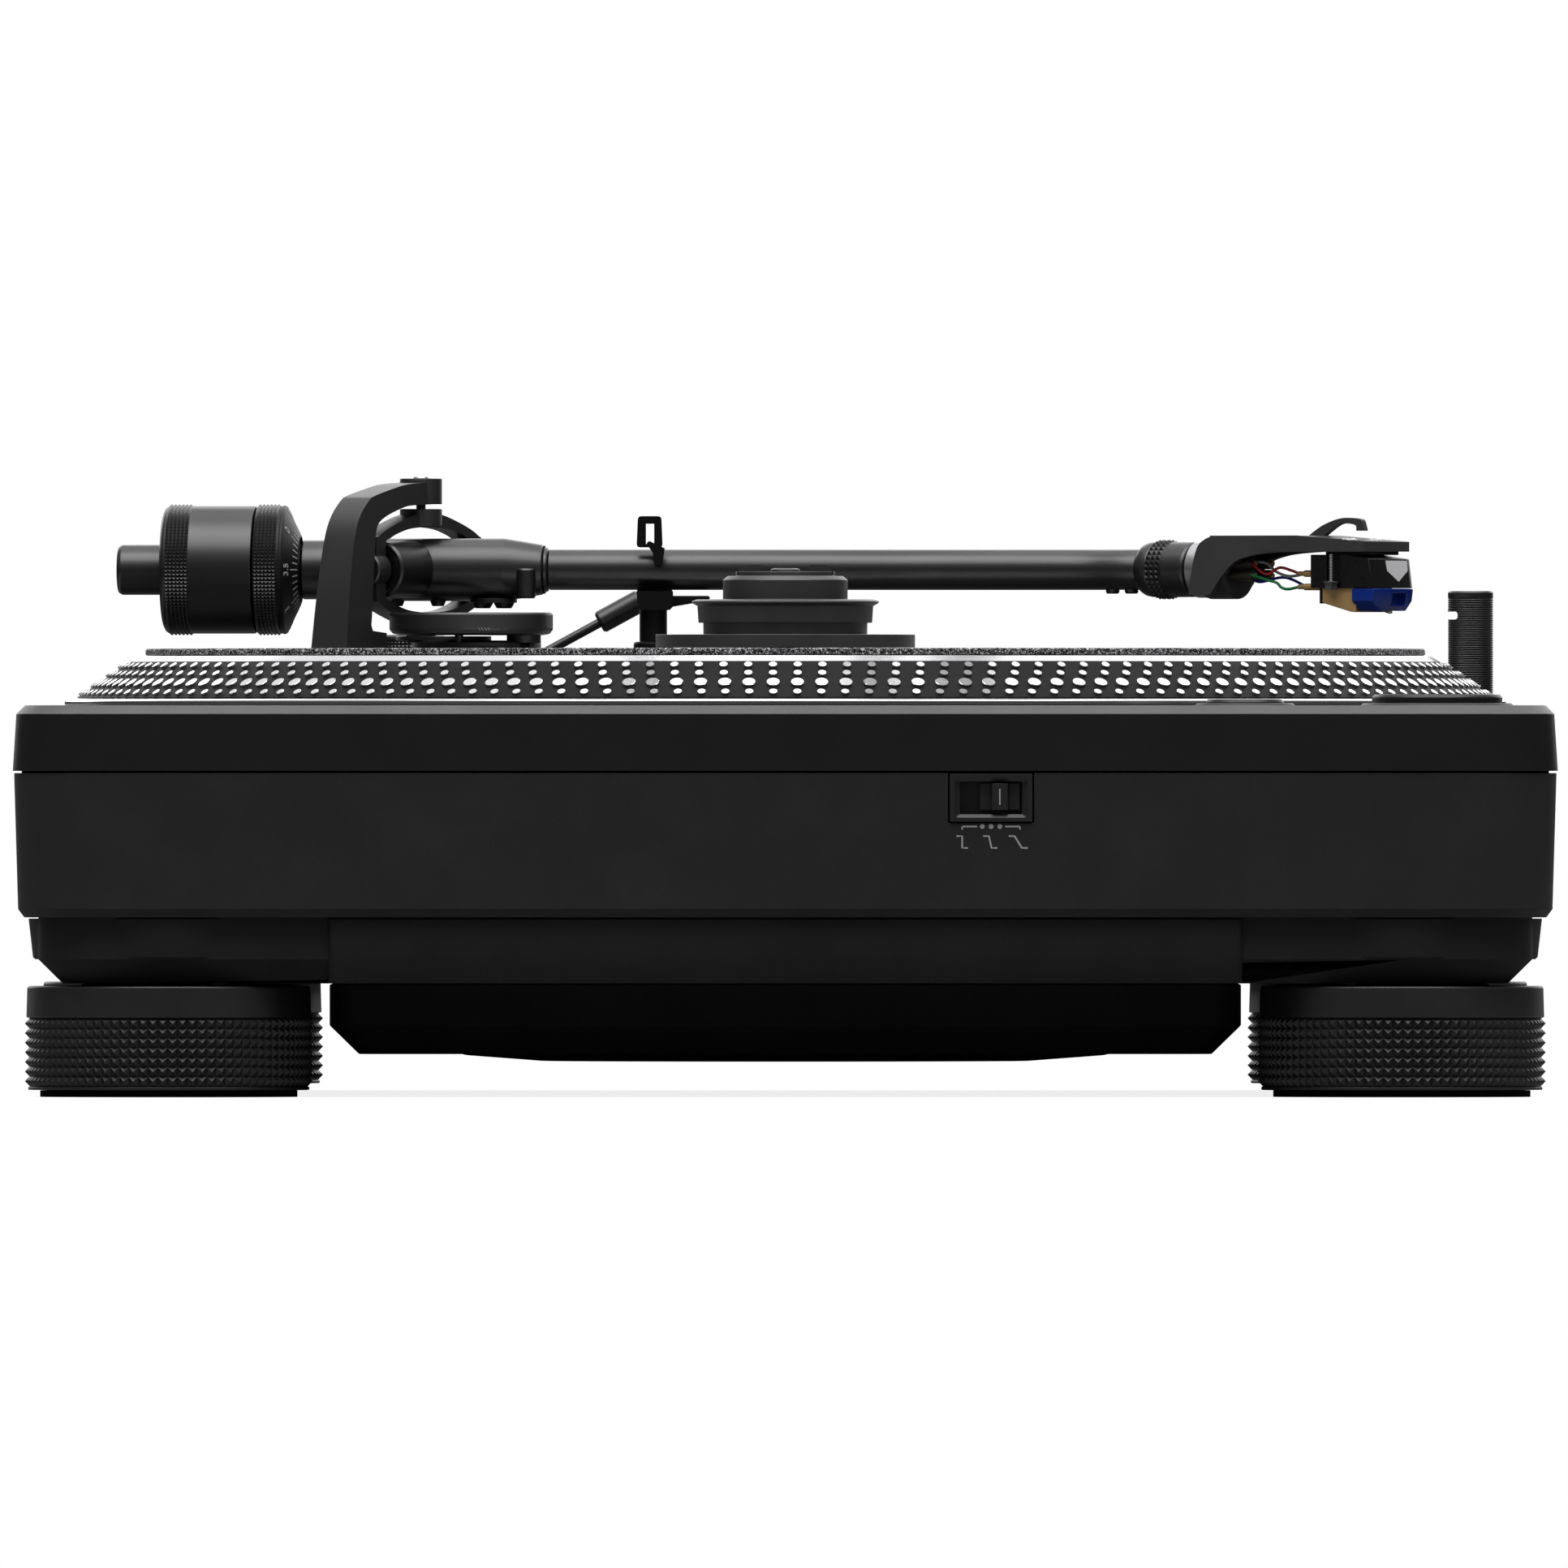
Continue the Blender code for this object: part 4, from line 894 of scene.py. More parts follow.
def rear_sockets():
    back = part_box("terminal_panel")
    for node in ("terminal_panel", "power_inlet"):
        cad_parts[node].data.materials.clear()
        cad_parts[node].data.materials.append(PLASTIC)
        rounded(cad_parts[node], 0.0003, 2)
    for name, x, colour in (("left", 0.045, DIAL_WHITE), ("right", 0.065, WIRES["red"])):
        at = Vector((x, back[0].y, 0.059))
        ring = [(0.0042, 0.0030), (0.0062, 0.0032), (0.0064, 0.0060), (0.0042, 0.0062)]
        add(lathe(
            f"socket_ring_{name}", ring, colour, at, (0, 1, 0), closed=True, soft=0.0002
        ), "deck", "plastic_black")
        shell = [(0.0026, 0.0180), (0.0041, 0.0180), (0.0044, 0.0176), (0.0044, 0.0060), (0.0026, 0.0060)]
        add(lathe(
            f"socket_shell_{name}", shell, PIN_GOLD, at, (0, 1, 0), closed=True, soft=0.0002
        ), "deck", "gold")
    at = Vector((0.105, back[0].y, 0.059))
    add(knurl(
        "ground_screw", 0.0040, 0.0003, 0.0070, 0.0110, 4, 36, STEEL, at, (0, 1, 0), inner=0.0020
    ), "deck", "steel")
    for number, x in enumerate((-0.0045, 0.0045)):
        blade = block(
            f"inlet_blade_{number}", (-0.130 + x - 0.0008, 0.1590, 0.0545),
            (-0.130 + x + 0.0008, 0.1690, 0.0585), STEEL, 0.0003
        )
        add(blade, "deck", "steel")
    for number, (x, z) in enumerate(((0.026, 0.065), (0.134, 0.053), (-0.145, 0.058), (-0.115, 0.058))):
        y = back[1].y - 0.0145 if x > 0 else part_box("power_inlet")[1].y
        add(screw_head(f"rear_screw_{number}", 0.0018, Vector((x, y, z)), (0, 1, 0), STEEL), "deck", "steel")


def inner_parts():
    """Pieces inside the casing keep their own shapes and take finer materials."""
    for node, mat in (("motor_stator", COPPER), ("main_circuit_board", BOARD_GREEN), ("power_supply", STEEL),
                      ("bearing_housing", STEEL), ("rotor_magnet", STEEL), ("weight_bush", PLASTIC)):
        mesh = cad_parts[node].data
        mesh.materials.clear()
        mesh.materials.append(mat)


# ---------------------------------------------------------------- arm base

def arm_base():
    at = Vector((PIVOT.x, PIVOT.y, 0))
    housing = [(0.0302, 0.0949), (0.0366, 0.0949), (0.0374, 0.0942), (0.0375, 0.0899), (0.0302, 0.0899)]
    add(lathe(
        "arm_mount", housing, ARM_BLACK, at, steps=128, closed=True
    ), "deck", "arm_black", "arm_base_housing")
    for number in range(31):
        turn = math.radians(180 + 4 * number)
        length = 0.0016 if number % 5 == 0 else 0.0009

        def around(x, y, z, turn=turn):
            reach = 0.03752 + z
            return at + Vector((reach * math.cos(turn + x / reach), reach * math.sin(turn + x / reach), y))

        tick = block(
            f"height_tick_{number}", (-0.00013, 0.0944 - length, -0.0003), (0.00013, 0.0944, 0.00002),
            DIAL_WHITE, 0, around
        )
        add(tick, "deck", "arm_black")
    add(knurl(
        "height_grip", 0.03610, 0.0004, 0.0955, 0.0988, 3, 200, ARM_BLACK, at, inner=0.0302
    ), "height_ring", "arm_black", "arm_height_ring")
    base = lathe("arm_base_plate", [
        (0, 0.1026), (0.0385, 0.1026), (0.0385, 0.0993), (0.0298, 0.0993), (0.0298, 0.0780), (0.0270, 0.0780),
        (0.0270, 0.0960), (0, 0.0960),
    ], YOKE_BLACK, at, steps=128, soft=0.0004)
    tongue = plate("t", soften([(REST.x - 0.010, REST.y - 0.009), (REST.x + 0.011, REST.y - 0.009),
                                (REST.x + 0.011, 0.080), (REST.x - 0.010, 0.080)], 0.004, True, 6),
                   0.0994, 0.1025, None, None, 0)
    lug = rod("l", 0.0105, 0.0992, 0.1027, None, KNOB)
    hinge_lug = block("h", (0.170, LEVER.y - 0.004, 0.0995), (0.1830, LEVER.y + 0.004, 0.1024), None, 0)
    boss = rod("b", 0.0030, 0.1820, 0.1842, None, (0, LEVER.y, LEVER.z + 0.0005), (1, 0, 0))
    add(join(base, tongue, lug, hinge_lug, boss), "arm_base_unit", "arm_black", "arm_base")
    knob_low, knob_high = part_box("anti_skate_knob")
    cap = [
        (0, knob_high.z), (0.0080, knob_high.z), (0.0088, knob_high.z - 0.0005), (0.0086, knob_low.z),
        (0, knob_low.z)
    ]
    add(lathe("anti_skate_cap", cap, ARM_BLACK, KNOB, steps=72), "anti_skate", "arm_black", "anti_skate_knob")
    add(knurl(
        "anti_skate_grip", 0.0086, 0.0003, knob_low.z + 0.0002, knob_high.z - 0.0006, 3, 60, ARM_BLACK, KNOB,
        inner=0.0080
    ), "anti_skate", "arm_black")
    pointer = block("anti_skate_pointer", KNOB + Vector((-0.00025, -0.0075, knob_high.z - 0.0002)),
                    KNOB + Vector((0.00025, -0.0040, knob_high.z + 0.00004)), DIAL_WHITE, 0)
    add(pointer, "anti_skate", "arm_black")
    arm_platform()
    cue_lever()


def arm_platform():
    """A crescent round the foot of the gimbal, on posts over a round base."""
    centre = Vector((0.1405, 0.07355, 0))
    crescent = lathe("arm_platform_deck", [
        (0, 0.1112), (0.0176, 0.1112), (0.0180, 0.1116), (0.0189, 0.1116), (0.01935, 0.1112),
        (0.01935, 0.1076), (0.0186, 0.1066), (0.0170, 0.1063), (0, 0.1063)
    ], YOKE_BLACK, centre, steps=96, soft=0.0003)
    well = rod("w", 0.0168, 0.1058, 0.120, None, (PIVOT.x, PIVOT.y, 0), steps=64)
    cut(crescent, well, lift_arc("s", 0.00185, 0.1073, 0.120, 1, 52, None, 0))
    posts = [
        rod("p", 0.0040, 0.1045, 0.1068, None, (0.1400, 0.0610, 0)),
        rod("p", 0.0010, 0.1045, 0.1068, None, (0.1345, 0.0761, 0)),
        lathe("p", [(0, 0.1051), (0.0147, 0.1051), (0.0151, 0.1047), (0.0151, 0.1029), (0, 0.1029)], None,
              (0.1480, 0.0721, 0), steps=72, soft=0.0002),
        rod("p", 0.0035, 0.1046, 0.1071, None, (PIVOT.x, PIVOT.y, 0)),
        rod("p", 0.0111, 0.1051, 0.1061, None, (0.1500, 0.0797, 0), steps=64),
    ]
    join(crescent, *posts)
    add(cut(crescent, rod("h", 0.0026, 0.100, 0.120, None, lift_stem())), "arm_base_unit", "arm_black",
        "arm_platform")
    for number in range(4):
        turn = math.radians(186.5 + 2.3 * number)

        def on_rim(x, y, z, turn=turn):
            reach = 0.01937 + z
            return centre + Vector((
                reach * math.cos(turn + x / reach), reach * math.sin(turn + x / reach), y
            ))

        tick = plate(f"platform_tick_{number}", [
            (0.0002, 0.1074), (0.0003, 0.1074), (-0.0002, 0.1081), (-0.0003, 0.1081)
        ], -0.0003, 0.00002, PRINT, on_rim, 0)
        add(tick, "arm_base_unit", "arm_black")
    bar = join(lift_arc("lift_rest", 0.0012, 0.1076, 0.1113, 4, 49, PLASTIC, 0.0004),
               rod("s", 0.0021, 0.1032, 0.1085, None, lift_stem()))
    add(bar, "lift", "plastic_black", "lift_bar")


def lift_stem():
    angle = math.radians(27)
    return (PIVOT.x - LIFT_RADIUS * math.sin(angle), PIVOT.y - LIFT_RADIUS * math.cos(angle), 0)


def lift_arc(name, half_width, low, high, start, end, mat, edge):
    """A curved bar about the vertical pivot, between two headings from the front towards the platter."""
    def side(radius, a, b):
        turns = [math.radians(-90 - a + (a - b) * i / 24) for i in range(25)]
        return [(PIVOT.x + radius * math.cos(t), PIVOT.y + radius * math.sin(t)) for t in turns]

    outline = side(LIFT_RADIUS + half_width, start, end) + side(LIFT_RADIUS - half_width, end, start)
    return plate(name, outline, low, high, mat, None, edge)


def cue_lever():
    rise = math.radians(28.6)
    out = Vector((0, -math.cos(rise), math.sin(rise)))
    hub = rod(
        "cue_lever_arm", 0.0036, 0.1845, 0.1905, ARM_BLACK, (0, LEVER.y, LEVER.z), (1, 0, 0), 48, 0.0004
    )
    stem = rod("s", 0.0011, 0.0020, 0.0240, None, LEVER, out, 24)
    handle = lathe("g", [(0, 0.0322), (0.0023, 0.0322), (0.0027, 0.0317), (0.0027, 0.0216), (0.0022, 0.0210),
                         (0, 0.0210)], None, LEVER, out, 40, soft=0.0002)
    add(join(hub, stem, handle), "lever", "arm_black", "cue_lever")


def across_tube(y, z, x):
    return Vector((x, y, z))


def arm_rest():
    post = lathe("rest_post", [
        (0, 0.1135), (0.00322, 0.1135), (0.00322, 0.1048), (0.0042, 0.1048), (0.0046, 0.1044),
        (0.0046, 0.1029), (0, 0.1029)
    ], REST_BLACK, REST, steps=64, soft=0.0002)
    side = [
        (0.0262, 0.1130), (0.0270, 0.1122), (0.0338, 0.1122), (0.0344, 0.1130), (0.03475, 0.1166),
        (0.0262, 0.1166)
    ]
    cradle_block = plate("c", side, 0.1395, 0.1566, None, across_tube, 0)
    wall = block("w", (0.1524, 0.0264, 0.1150), (0.1564, 0.0346, 0.1184), None, 0)
    blade = plate("b", soften([
        (0.0272, 0.1158), (0.0185, 0.1158), (0.0176, 0.1153), (0.0176, 0.1148), (0.0184, 0.1143),
        (0.0272, 0.1128)
    ], 0.0004, True), 0.1430, 0.1500, None, across_tube, 0)
    join(post, cradle_block, blade, wall)
    cradle = rod("g", 0.0071, -0.045, -0.010, None, (REST.x, 0, PIVOT.z), (0, -1, 0), 64, 0)
    add(rounded(cut(post, cradle), 0.0003, 2), "arm_base_unit", "plastic_black", "arm_rest")


def arm_clip():
    """A thumb frame above the tube, with a hook over the tube's near side and a leg down its far side."""
    outline = soften([
        (0.0344, 0.1341), (0.0289, 0.1341), (0.0286, 0.1268), (0.0347, 0.1268)
    ], 0.0009, True, 5)
    thumb = plate("arm_clamp_hook", outline, 0.1408, 0.1428, REST_BLACK, across_tube, 0.0003)
    window = plate("w", [
        (0.0325, 0.1323), (0.0306, 0.1323), (0.0306, 0.1276), (0.0325, 0.1276)
    ], 0.130, 0.150, None, across_tube, 0)
    cut(thumb, window)
    hook = plate("h", [
        (0.0323, 0.1279), (0.0317, 0.1283), (0.0288, 0.1269), (0.0281, 0.1266), (0.0287, 0.1227),
        (0.0306, 0.1227), (0.0309, 0.1255), (0.0323, 0.1275)
    ], 0.1391, 0.1409, None, across_tube, 0)
    roof = block("r", (0.1400, 0.0288, 0.1266), (0.1562, 0.0304, 0.1278), None, 0)
    leg = block("l", (0.1526, 0.0287, 0.1196), (0.1561, 0.0345, 0.1262), None, 0)
    neck = block("n", (0.1527, 0.0288, 0.1255), (0.1561, 0.0304, 0.1277), None, 0)
    add(join(thumb, hook, roof, leg, neck), "clip", "plastic_black", "arm_clip")


# ---------------------------------------------------------------- gimbal

def in_arch_plane(along, up, across):
    """World point from the skewed upright plane that the yoke and the gimbal ring lie in."""
    return PIVOT + TILT_AXIS * along + SHELL_AXIS * across + UP * up


def gimbal():
    outer = smooth_outline([
        (0.0384, -0.0187), (0.0371, -0.0090), (0.0356, 0.0), (0.0336, 0.0082), (0.0312, 0.0127),
        (0.0275, 0.0161), (0.0250, 0.0172), (0.0162, 0.0191), (0.0102, 0.0200), (0.0, 0.0205)
    ])
    inner = smooth_outline([
        (0.0, 0.0153), (0.0090, 0.0150), (0.0135, 0.0144), (0.0205, 0.0124), (0.0240, 0.0104),
        (0.0252, 0.0071), (0.0262, 0.0), (0.0272, -0.0090), (0.0278, -0.0130)
    ])
    foot = [(0.0272, -0.0143), (0.0215, -0.0148), (0.0215, -0.0187)]

    def flared(along, up, across):
        """The arch is thicker at its foot than at its crown."""
        return in_arch_plane(along, up, across * (1.0 + 0.30 * (0.0206 - up) / 0.0393))

    yoke = plate("gimbal_arch", outer + inner + foot, -0.00385, 0.00385, YOKE_BLACK, flared, 0.0006)
    at = (PIVOT.x, PIVOT.y, 0)
    crown = rod("c", PIVOT_BOSS_RADIUS, 0.1369, 0.1429, None, at, steps=96)
    join(yoke, crown)
    add(cut(yoke, rod("s", 0.0014, 0.1300, 0.1390, None, at)), "arm_base_unit", "arm_black", "gimbal_yoke")
    cap = lathe("yoke_cap_screw", [
        (0, 0.14295), (0.0006, 0.1430), (0.0007, 0.1433), (0.0017, 0.1433), (0.0019, 0.1430),
        (0.0019, 0.1425), (0, 0.1425)
    ], STEEL, at, steps=48, soft=0.00006)
    add(cap, "arm_base_unit", "steel")

    def all_round(quarter):
        top = quarter + [(-x, z) for x, z in reversed(quarter[:-1])]
        return top + [(x, -z) for x, z in reversed(top[1:-1])]

    side = smooth_outline([
        (0.0221, 0.0), (0.0221, 0.0066), (0.0205, 0.0080), (0.0170, 0.0096), (0.0113, 0.0114),
        (0.0054, 0.0128), (0.0, 0.0131)
    ])
    hole = smooth_outline([
        (0.0181, 0.0), (0.0181, 0.0062), (0.0165, 0.0072), (0.0139, 0.0082), (0.0089, 0.0094),
        (0.0035, 0.0099), (0.0, 0.0100)
    ])
    band = plate("gimbal_hoop", all_round(side), -0.0024, 0.0024, YOKE_BLACK, in_arch_plane, 0.0005)
    cut(band, plate("h", all_round(hole), -0.010, 0.010, None, in_arch_plane, 0))
    bosses = [
        rod("b", PIVOT_BOSS_RADIUS, 0.1318, 0.1358, None, at, steps=96),
        rod("b", PIVOT_BOSS_RADIUS, 0.1074, 0.1114, None, at), rod("b", 0.0011, 0.1340, 0.1386, None, at)
    ]
    for sign in (-1, 1):
        bosses.append(lathe("b", [
            (0, 0.0230), (0.0016, 0.0230), (0.0016, 0.0232), (0.0036, 0.0232), (0.0040, 0.0228),
            (0.0040, 0.0182), (0, 0.0182)
        ], None, PIVOT, TILT_AXIS * sign, 64, soft=0.0001))
    add(join(band, *bosses), "gimbal", "arm_black", "gimbal_ring")
    for sign, name in ((-1, "far"), (1, "near")):
        screw = screw_head(
            f"pivot_screw_{name}", 0.0023, PIVOT + TILT_AXIS * sign * 0.0229, TILT_AXIS * sign, STEEL, 0.0006
        )
        add(screw, "gimbal", "steel")


# ---------------------------------------------------------------- arm

def arm_housing():
    housing = lathe("bearing_shell", [
        (0, 0.0300), (0.0048, 0.0300), (0.0052, 0.0296), (0.0052, 0.0290), (0.0058, 0.0286), (0.0061, 0.0268),
        (0.0067, 0.0235), (0.0073, 0.0196), (0.0073, -0.0105), (0.0072, -0.0140), (0.0069, -0.0145),
        (0.0069, -0.0275), (0.00585, -0.0278), (0.00585, -0.0700), (0.0053, -0.0709), (0, -0.0709),
    ], ARM_BLACK, PIVOT, -REAR, 96, soft=0.0003)
    lumps = []
    for sign in (-1, 1):
        lumps.append(lathe("b", [
            (0, 0.0170), (0.0052, 0.0170), (0.0056, 0.0174), (0.0061, 0.0174), (0.0066, 0.0169), (0.0066, 0),
            (0, 0)
        ], None, PIVOT, TILT_AXIS * sign, 72, soft=0.0001))
    for along, radius, low, high in ((0.0145, 0.0022, 0.1126, 0.1165), (0.0195, 0.0022, 0.1126, 0.1165),
                                     (0.0040, 0.0017, 0.1131, 0.1160), (-0.0055, 0.0015, 0.1131, 0.1160)):
        point = PIVOT - REAR * along
        lumps.append(lathe("l", [
            (0, high), (radius * 1.1, high), (radius * 1.1, low + 0.0012), (radius * 0.8, low), (0, low)
        ], None, (point.x, point.y, 0), steps=40, soft=0.0002))
    strip = PIVOT - REAR * 0.0170
    lumps.append(rod("s", 0.0055, 0.1139, 0.1150, None, (strip.x, strip.y, 0)))
    side_boss = PIVOT - REAR * 0.0246 - Vector((0.0058, 0, 0))
    lumps.append(lathe("v", [
        (0, 0.1219), (0.0020, 0.1219), (0.0023, 0.1215), (0.0023, 0.1153), (0.0019, 0.1149), (0, 0.1149)
    ], None, (side_boss.x, side_boss.y, 0), steps=40, soft=0.0001))
    add(join(housing, *lumps), "arm", "arm_black", "arm_housing")
    seam = lathe("shell_seam", [
        (0.0053, 0.0291), (0.0056, 0.0291), (0.0056, 0.0286), (0.0053, 0.0286)
    ], HOLE_BLACK, PIVOT, -REAR, 64, closed=True, soft=0)
    add(seam, "arm", "plastic_black")
    cap = lathe("shaft_end_face", [
        (0, -0.07095), (0.0049, -0.07095), (0.0050, -0.0708), (0, -0.0708)
    ], PLASTIC, PIVOT, -REAR, 64, soft=0)
    add(cap, "arm", "plastic_black")


def tube_route():
    xy = (
        (0.14836, 0.0549), (0.1472, 0.0420), (0.1462, 0.0300), (0.1456, 0.0170), (0.1464, 0.0020),
        (0.1488, -0.0150), (0.1512, -0.0300), (0.1522, -0.0440), (0.1513, -0.0570), (0.1486, -0.0700),
        (0.1444, -0.0796)
    )
    points = [Vector((x, y, PIVOT.z)) for x, y in xy]
    return smooth_through([*points, COLLAR_REAR], 8)


def arm_tube():
    add(tube("s_shaped_tube", tube_route(), TUBE_R, ARM_BLACK, 12), "arm", "arm_black", "arm_tube")
    for number, y in enumerate((-0.0764, -0.0808)):
        nearest = min(tube_route(), key=lambda p: abs(p.y - y))
        screw = lathe(f"tube_screw_{number}", [
            (0, 0.1178), (0.0016, 0.1178), (0.0016, 0.1164), (0.0013, 0.1160), (0, 0.1160)
        ], ARM_BLACK, (nearest.x, y, 0), steps=32, soft=0.0001)
        add(screw, "arm", "arm_black")


def counterweight():
    drum = lathe("weight_drum", [
        (0.0085, 0.0602), (0.0132, 0.0602), (0.0145, 0.0596), (WEIGHT_RADIUS, 0.0588),
        (WEIGHT_RADIUS, 0.0386), (0.0085, 0.0386)
    ], ARM_BLACK, PIVOT, REAR, 160, closed=True, soft=0.0004)
    add(drum, "weight", "weight_metal", "counterweight")
    add(knurl(
        "weight_grip", WEIGHT_RADIUS, 0.00040, 0.0534, 0.0588, 6, 106, ARM_BLACK, PIVOT, REAR, inner=0.0140
    ), "weight", "weight_metal")
    dial = lathe("force_dial_ring", [
        (0.0085, 0.0382), (0.0148, 0.0382), (WEIGHT_RADIUS, 0.0379), (WEIGHT_RADIUS, 0.0322),
        (0.0151, 0.0319), DIAL_OUTER, DIAL_INNER, (0.0078, 0.0300)
    ], PLASTIC, PIVOT, REAR, 128, closed=True, soft=0.0002)
    add(dial, "dial", "plastic_black", "force_dial")
    add(knurl(
        "dial_grip", WEIGHT_RADIUS, 0.00040, 0.0328, 0.0380, 6, 106, ARM_BLACK, PIVOT, REAR, inner=0.0140
    ), "dial", "plastic_black")
    dial_marks()


def on_dial(turn, radius, lift):
    """World point on the dial's cone, from the turn round it and the distance from its axis."""
    slope = (DIAL_OUTER[1] - DIAL_INNER[1]) / (DIAL_OUTER[0] - DIAL_INNER[0])
    along = DIAL_INNER[1] + (radius - DIAL_INNER[0]) * slope - lift
    side = REAR.cross(UP)
    return PIVOT + REAR * along + (side * -math.cos(turn) + UP * math.sin(turn)) * radius


def dial_marks():
    for number in range(40):
        turn = math.tau * number / 40
        long_mark = number % 5 == 0
        outer = 0.0112 if long_mark else 0.0103
        half = 0.00014

        def place(x, y, z, turn=turn):
            return on_dial(turn + y / x, x, z)

        tick = block(
            f"dial_tick_{number}", (0.0084, -half, -0.0003), (outer, half, 0.00004), DIAL_WHITE, 0, place
        )
        add(tick, "dial", "plastic_black")
    for number in range(8):
        text = f"{number / 2:g}"
        turn = math.tau * number / 8 + math.tau / 8
        curve = bpy.data.curves.new(f"number_{number}", "FONT")
        curve.body = text
        curve.size = 0.0026
        curve.align_x = "CENTER"
        curve.align_y = "CENTER"
        curve.extrude = 0.0001
        rough = bpy.data.objects.new("number", curve)
        bpy.context.scene.collection.objects.link(rough)
        mesh = bpy.data.meshes.new_from_object(rough.evaluated_get(bpy.context.evaluated_depsgraph_get()))
        bpy.data.objects.remove(rough)
        shape = bmesh.new()
        shape.from_mesh(mesh)
        bmesh.ops.remove_doubles(shape, verts=shape.verts, dist=0.000001)
        for vert in shape.verts:
            radius = 0.0130 + vert.co.y
            vert.co = on_dial(turn + vert.co.x / radius, radius, vert.co.z)
        add(settle(shape, f"dial_number_{number}", DIAL_WHITE), "dial", "plastic_black")


def collar():
    nut = lathe("locking_nut", [
        (0.0051, NUT_LENGTH), (0.0060, NUT_LENGTH), (0.0064, NUT_LENGTH - 0.0005), (0.00645, 0.0086),
        (0.0062, 0.0084), (0.0062, 0.0045), (0.00645, 0.0043), (0.00642, 0.0030), (0.0062, 0.0018),
        (0.0058, 0.0010), (0.0054, 0.0006), (0.0051, 0.0005)
    ], ARM_BLACK, COLLAR_REAR, SHELL_AXIS, 96, closed=True, soft=0.0002)
    add(nut, "collar", "arm_black", "headshell_collar")
    add(knurl(
        "nut_grip", 0.00632, 0.00070, 0.0044, 0.0085, 3, 32, ARM_BLACK, COLLAR_REAR, SHELL_AXIS, inner=0.0058
    ), "collar", "arm_black")


# ---------------------------------------------------------------- headshell and cartridge

def on_shell(along, side, up):
    """World point from the headshell's own directions: along it, to its left, and height."""
    return SHELL_DATUM + SHELL_AXIS * along + TILT_AXIS * side + UP * (up - SHELL_DATUM.z)


def upright(along, up, side):
    return on_shell(along, side, up)


def headshell():
    half = 0.0090
    plan = [
        (0.0108, -0.0076), (0.0360, -half), (0.0553, -half), (0.0558, -0.0085), (0.0545, 0.0085),
        (0.0541, half), (0.0358, half), (0.0108, 0.0076)
    ]

    def slab_point(along, side, up):
        slope = max(0.0, along - 0.0400) / 0.0156
        return on_shell(along, side, up - (0.0015 * slope if up > 0.127 else 0.0))

    shell = plate("headshell_frame", plan, 0.1257, 0.1295, SHELL_BLACK, slab_point, 0.0003)
    arch = smooth_outline([
        (0.0108, 0.1156), (0.0122, 0.1174), (0.0141, 0.1198), (0.0176, 0.1231), (0.0212, 0.1245),
        (0.0262, 0.1253), (0.0343, 0.1258)
    ], 4)
    tail = smooth_outline([
        (0.0343, 0.1275), (0.0230, 0.1290), (0.0125, 0.1294), (0.0112, 0.1293), (0.0090, 0.1284),
        (0.0072, 0.1267), (0.0058, 0.1222), (0.0047, 0.1157)
    ], 4)
    walls = []
    for side in (-1, 1):
        def leaning(along, up, across, side=side):
            return on_shell(along, side * (0.0074 + 0.0014 * min(1, along / 0.036) - across), up)
        walls.append(plate("c", arch + tail, 0, 0.0018, None, leaning, 0))
    vault = plate("v", [
        (0.0108, 0.1258), (0.0343, 0.1258), (0.0343, 0.1280), (0.0108, 0.1280)
    ], -0.0070, 0.0070, None, upright, 0)
    slots = [block(
        "s", (0.0440, side * 0.0052 - 0.0013, 0.1200), (0.0520, side * 0.0052 + 0.0013, 0.1320), None, 0,
        on_shell
    ) for side in (-1, 1)]
    join(shell, *walls, vault)
    cut(shell, *slots)
    add(shell, "arm", "arm_black", "headshell")
    over = smooth_outline([
        (0.0270, 0.1284), (0.0285, 0.1295), (0.0320, 0.1317), (0.0356, 0.1331), (0.0385, 0.13365),
        (0.0420, 0.1335), (0.0433, 0.1331), (0.0438, 0.1320), (0.0442, 0.1306)
    ], 4)
    under = smooth_outline([
        (0.0418, 0.1306), (0.0415, 0.1319), (0.0385, 0.1323), (0.0364, 0.1317), (0.0331, 0.1295),
        (0.0318, 0.1284)
    ], 4)
    add(plate(
        "finger_lift", over + under, -0.0088, -0.0072, SHELL_BLACK, upright, 0.0003
    ), "arm", "arm_black")
    plug = lathe("bayonet_plug", [
        (0, 0.0062), (0.0064, 0.0062), (0.0066, 0.0059), (0.0066, 0.0028), (0.0060, 0.0026), (0.0046, 0.0026),
        (0.0046, -0.0060), (0, -0.0060)
    ], BAYONET, SHELL_DATUM, SHELL_AXIS, 72)
    add(plug, "arm", "arm_black")
    root = lathe("shell_root", [
        (0, 0.0142), (0.0064, 0.0142), (0.0069, 0.0138), (0.0069, 0.0063), (0, 0.0063)
    ], SHELL_BLACK, SHELL_DATUM, SHELL_AXIS, 72)
    add(root, "arm", "arm_black")
    for number, (side, up) in enumerate((
        (0.0037, 0.1230), (0.0037, 0.1202), (-0.0037, 0.1230), (-0.0037, 0.1202)
    )):
        block_tube = rod(
            f"terminal_{number}", 0.00135, 0.0080, 0.0205, SHELL_INSULATOR, on_shell(0, side, up), SHELL_AXIS,
            24
        )
        add(block_tube, "arm", "plastic_black")
        add(rod(
            f"terminal_pin_{number}", 0.0006, 0.0200, 0.0212, PIN_GOLD, on_shell(0, side, up), SHELL_AXIS, 16
        ), "arm", "gold")
    for side, name in ((-1, "far"), (1, "near")):
        top = on_shell(0.0480, side * 0.0052, 0)
        head = screw_head(
            f"cartridge_screw_{name}", 0.0019, Vector((top.x, top.y, 0.1282)), UP, STEEL, 0.0007
        )
        add(head, "arm", "steel")


